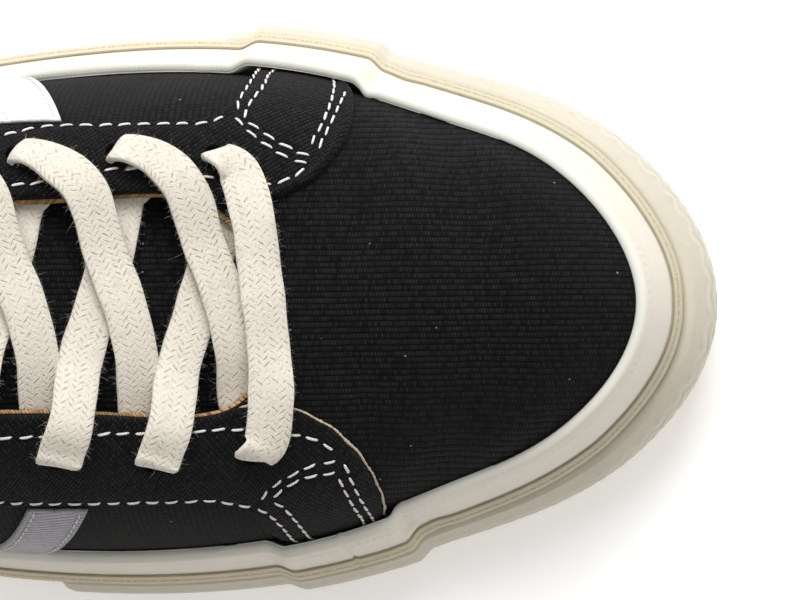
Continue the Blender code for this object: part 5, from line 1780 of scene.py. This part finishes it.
def build_stage():
    """A wide pale floor, one large soft light from the big-toe side, and a pale surrounding."""
    scene = bpy.context.scene
    mesh = bpy.data.meshes.new("paper_floor")
    half = 3.0
    mesh.from_pydata([(-half, -half, 0), (half, -half, 0), (half, half, 0), (-half, half, 0)], [], [(0, 1, 2, 3)])
    floor = bpy.data.objects.new("paper_floor", mesh)
    floor.data.materials.append(finishes()["Studio Paper"])
    scene.collection.objects.link(floor)
    floor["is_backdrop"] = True
    world = bpy.data.worlds.new("Studio")
    scene.world = world
    world.use_nodes = True
    w = Wiring(world.node_tree)
    towards_key = w.rise(w.split(w.add("ShaderNodeTexCoord")["Generated"])[1], -0.7, 0.7)
    tone = w.mix(towards_key, (0.20, 0.19, 0.18), (0.66, 0.66, 0.66))
    w.put(world.node_tree.nodes["Background"].inputs[0], tone)
    for name, place, aim, size, power in (
        ("key_light", (0.10, 0.95, 1.05), (0.0, 0.0, 0.03), 0.80, 16.0),
        ("fill_light", (0.20, -0.35, 1.40), (0.0, 0.0, 0.03), 0.90, 3.4),
    ):
        lamp = bpy.data.lights.new(name, "AREA")
        lamp.shape = "SQUARE"
        lamp.size = size
        lamp.energy = power
        made = bpy.data.objects.new(name, lamp)
        made.location = place
        made.rotation_euler = (Vector(aim) - Vector(place)).to_track_quat("-Z", "Y").to_euler()
        scene.collection.objects.link(made)
        made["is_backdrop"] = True
    scene.view_settings.view_transform = "Standard"

    # Camera: the point it looks at, the way back to it, its roll, and its focal length in photo pixels
    target = Vector((0.0852, 0.0009, 0.030))
    back = Vector((0.09983, -0.02000, 0.99480)).normalized()
    roll, distance, focal_pixels, photo_width = -0.015, 0.7, 3642, 800
    right = (Vector((1, 0, 0)) - back * back.x).normalized()
    up = back.cross(right)
    right, up = right * math.cos(roll) + up * math.sin(roll), up * math.cos(roll) - right * math.sin(roll)
    lens = bpy.data.cameras.new("photo_camera")
    lens.lens, lens.sensor_width = focal_pixels / photo_width * 36, 36.0
    lens.clip_start, lens.clip_end = 0.05, 20.0
    camera = bpy.data.objects.new("photo_camera", lens)
    turn = Matrix((right, up, back)).transposed().to_4x4()
    camera.matrix_world = Matrix.Translation(target + back * distance) @ turn
    scene.collection.objects.link(camera)
    scene.camera = camera


# The add-on


def length_property(name, words, length):
    """A length that the user may change."""
    return bpy.props.FloatProperty(name=name, description=words, default=length, unit="LENGTH")


def colour_property(name, words, colour):
    """A colour that the user may change."""
    return bpy.props.FloatVectorProperty(
        name=name, description=words, default=colour, size=3, min=0.0, max=1.0, subtype="COLOR"
    )


class ShoeSizes(bpy.types.PropertyGroup):
    """Sizes of the shoe's fine parts."""

    canvas_thickness: length_property("Canvas thickness", "Thickness of the canvas shell", 0.0009)
    canvas_rib: length_property("Canvas rib", "Spacing of the canvas's ribs", 0.00112)
    canvas_bead: length_property("Canvas bead", "Length of one crossing along a rib", 0.00056)
    crease_depth: bpy.props.FloatProperty(
        name="Crease depth", description="How strongly the creases show", default=1.0, min=0.0, max=2.0
    )
    lace_width: length_property("Lace width", "Width of the flat lace", 0.0082)
    lace_thickness: length_property("Lace thickness", "Thickness of the flat lace", 0.0015)
    braid_pitch: length_property("Braid pitch", "From one hollow of the braid to the next", 0.00128)
    braid_relief: length_property("Braid relief", "Depth of the braid's hollows", 0.00020)
    stitch_length: length_property("Stitch length", "Length of one stitch", 0.0026)
    stitch_pitch: length_property("Stitch pitch", "From one stitch to the next", 0.0036)
    thread_radius: length_property("Thread radius", "Radius of the sewing thread", 0.00025)


class ShoeColours(bpy.types.PropertyGroup):
    """Colours of the shoe's finishes."""

    canvas: colour_property("Canvas", "Black canvas of the upper and the tongue", (0.0062, 0.0064, 0.0064))
    twill: colour_property("Twill", "Black twill of the eyestays and the heel", (0.0058, 0.0060, 0.0062))
    lining: colour_property("Lining", "Tan drill inside the upper", (0.50, 0.30, 0.12))
    insole: colour_property("Insole", "Cotton sock", (0.55, 0.46, 0.32))
    foxing: colour_property("Foxing", "Cream rubber tape", (0.83, 0.80, 0.70))
    stripe: colour_property("Strip", "Narrow tan strip", (0.70, 0.61, 0.44))
    bumper: colour_property("Toe strip", "Rubber of the toe strip", (0.64, 0.59, 0.48))
    tread: colour_property("Tread", "Rubber of the bottom", (0.66, 0.58, 0.42))
    lace: colour_property("Lace", "Cream cotton of the laces", (0.80, 0.75, 0.65))
    thread: colour_property("Thread", "White sewing thread", (0.86, 0.84, 0.80))
    band: colour_property("White band", "Leather of the band on the big-toe side", (0.80, 0.80, 0.82))
    # Painted shade: the white leather darkened for the band on the side away from the light.
    shaded_band: colour_property("Shaded band", "Leather of the band on the other side", (0.34, 0.33, 0.37))


class SHOE_OT_upper(bpy.types.Operator):
    """Build the canvas shell, its lining and the padded collar"""

    bl_idname = "shoe.upper"
    bl_label = "Upper"

    def execute(self, context):
        build_upper()
        build_collar()
        return {"FINISHED"}


class SHOE_OT_facings(bpy.types.Operator):
    """Build the eyestays and the heel counter"""

    bl_idname = "shoe.facings"
    bl_label = "Eyestays and Heel"

    def execute(self, context):
        build_facings()
        return {"FINISHED"}


class SHOE_OT_bands(bpy.types.Operator):
    """Build the leather bands on both sides"""

    bl_idname = "shoe.bands"
    bl_label = "Side Bands"

    def execute(self, context):
        build_bands()
        return {"FINISHED"}


class SHOE_OT_stitching(bpy.types.Operator):
    """Sew the white rows of stitches"""

    bl_idname = "shoe.stitching"
    bl_label = "Stitching"

    def execute(self, context):
        build_stitching()
        return {"FINISHED"}


class SHOE_OT_foxing(bpy.types.Operator):
    """Build the foxing and its strip"""

    bl_idname = "shoe.foxing"
    bl_label = "Foxing"

    def execute(self, context):
        build_tape()
        build_strip()
        return {"FINISHED"}


class SHOE_OT_bumper(bpy.types.Operator):
    """Build the toe strip"""

    bl_idname = "shoe.bumper"
    bl_label = "Toe Strip"

    def execute(self, context):
        build_bumper()
        return {"FINISHED"}


class SHOE_OT_sole(bpy.types.Operator):
    """Build the rubber bottom and the sock on it"""

    bl_idname = "shoe.sole"
    bl_label = "Sole"

    def execute(self, context):
        build_outsole()
        build_insole()
        return {"FINISHED"}


class SHOE_OT_tongue(bpy.types.Operator):
    """Build the padded tongue"""

    bl_idname = "shoe.tongue"
    bl_label = "Tongue"

    def execute(self, context):
        build_tongue()
        return {"FINISHED"}


class SHOE_OT_laces(bpy.types.Operator):
    """Run the braided laces through the eyelets"""

    bl_idname = "shoe.laces"
    bl_label = "Laces"

    def execute(self, context):
        build_laces()
        return {"FINISHED"}


class SHOE_OT_stage(bpy.types.Operator):
    """Set the floor, the light and the camera"""

    bl_idname = "shoe.stage"
    bl_label = "Floor, Light and Camera"

    def execute(self, context):
        build_stage()
        return {"FINISHED"}


OPERATORS = (
    SHOE_OT_upper, SHOE_OT_facings, SHOE_OT_bands, SHOE_OT_stitching, SHOE_OT_foxing, SHOE_OT_bumper,
    SHOE_OT_sole, SHOE_OT_tongue, SHOE_OT_laces, SHOE_OT_stage,
)


class SHOE_PT_panel(bpy.types.Panel):
    """Sizes, colours and build steps of the shoe"""

    bl_idname = "SHOE_PT_panel"
    bl_label = "Skateboarding Shoe"
    bl_space_type = "VIEW_3D"
    bl_region_type = "UI"
    bl_category = "Shoe"

    def draw(self, context):
        layout = self.layout
        for title, group in (("Sizes", context.scene.shoe_sizes), ("Colours", context.scene.shoe_colours)):
            box = layout.box()
            box.label(text=title)
            for name in group.__annotations__:
                box.prop(group, name)
        steps = layout.column(align=True)
        for each in OPERATORS:
            steps.operator(each.bl_idname)


CLASSES = (ShoeSizes, ShoeColours, *OPERATORS, SHOE_PT_panel)


def register():
    """Adds the classes and the scene's two groups of properties."""
    for each in CLASSES:
        bpy.utils.register_class(each)
    bpy.types.Scene.shoe_sizes = bpy.props.PointerProperty(type=ShoeSizes)
    bpy.types.Scene.shoe_colours = bpy.props.PointerProperty(type=ShoeColours)


def unregister():
    """Takes them away again."""
    del bpy.types.Scene.shoe_colours
    del bpy.types.Scene.shoe_colours
    del bpy.types.Scene.shoe_sizes
    for each in reversed(CLASSES):
        bpy.utils.unregister_class(each)


def write_size():
    """Gathers the corners of the outer box of every shown piece, and keeps them nowhere."""
    corners = []
    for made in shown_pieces():
        corners += [made.matrix_world @ Vector(c) for c in made.bound_box]


def main():
    """Builds every piece and the stage, in order, then gathers the shown pieces' corners."""
    register()
    for each in OPERATORS:
        group, step = each.bl_idname.split(".")
        if getattr(getattr(bpy.ops, group), step)() != {"FINISHED"}:
            raise RuntimeError(each.bl_label)
    write_size()


if __name__ == "__main__":
    main()
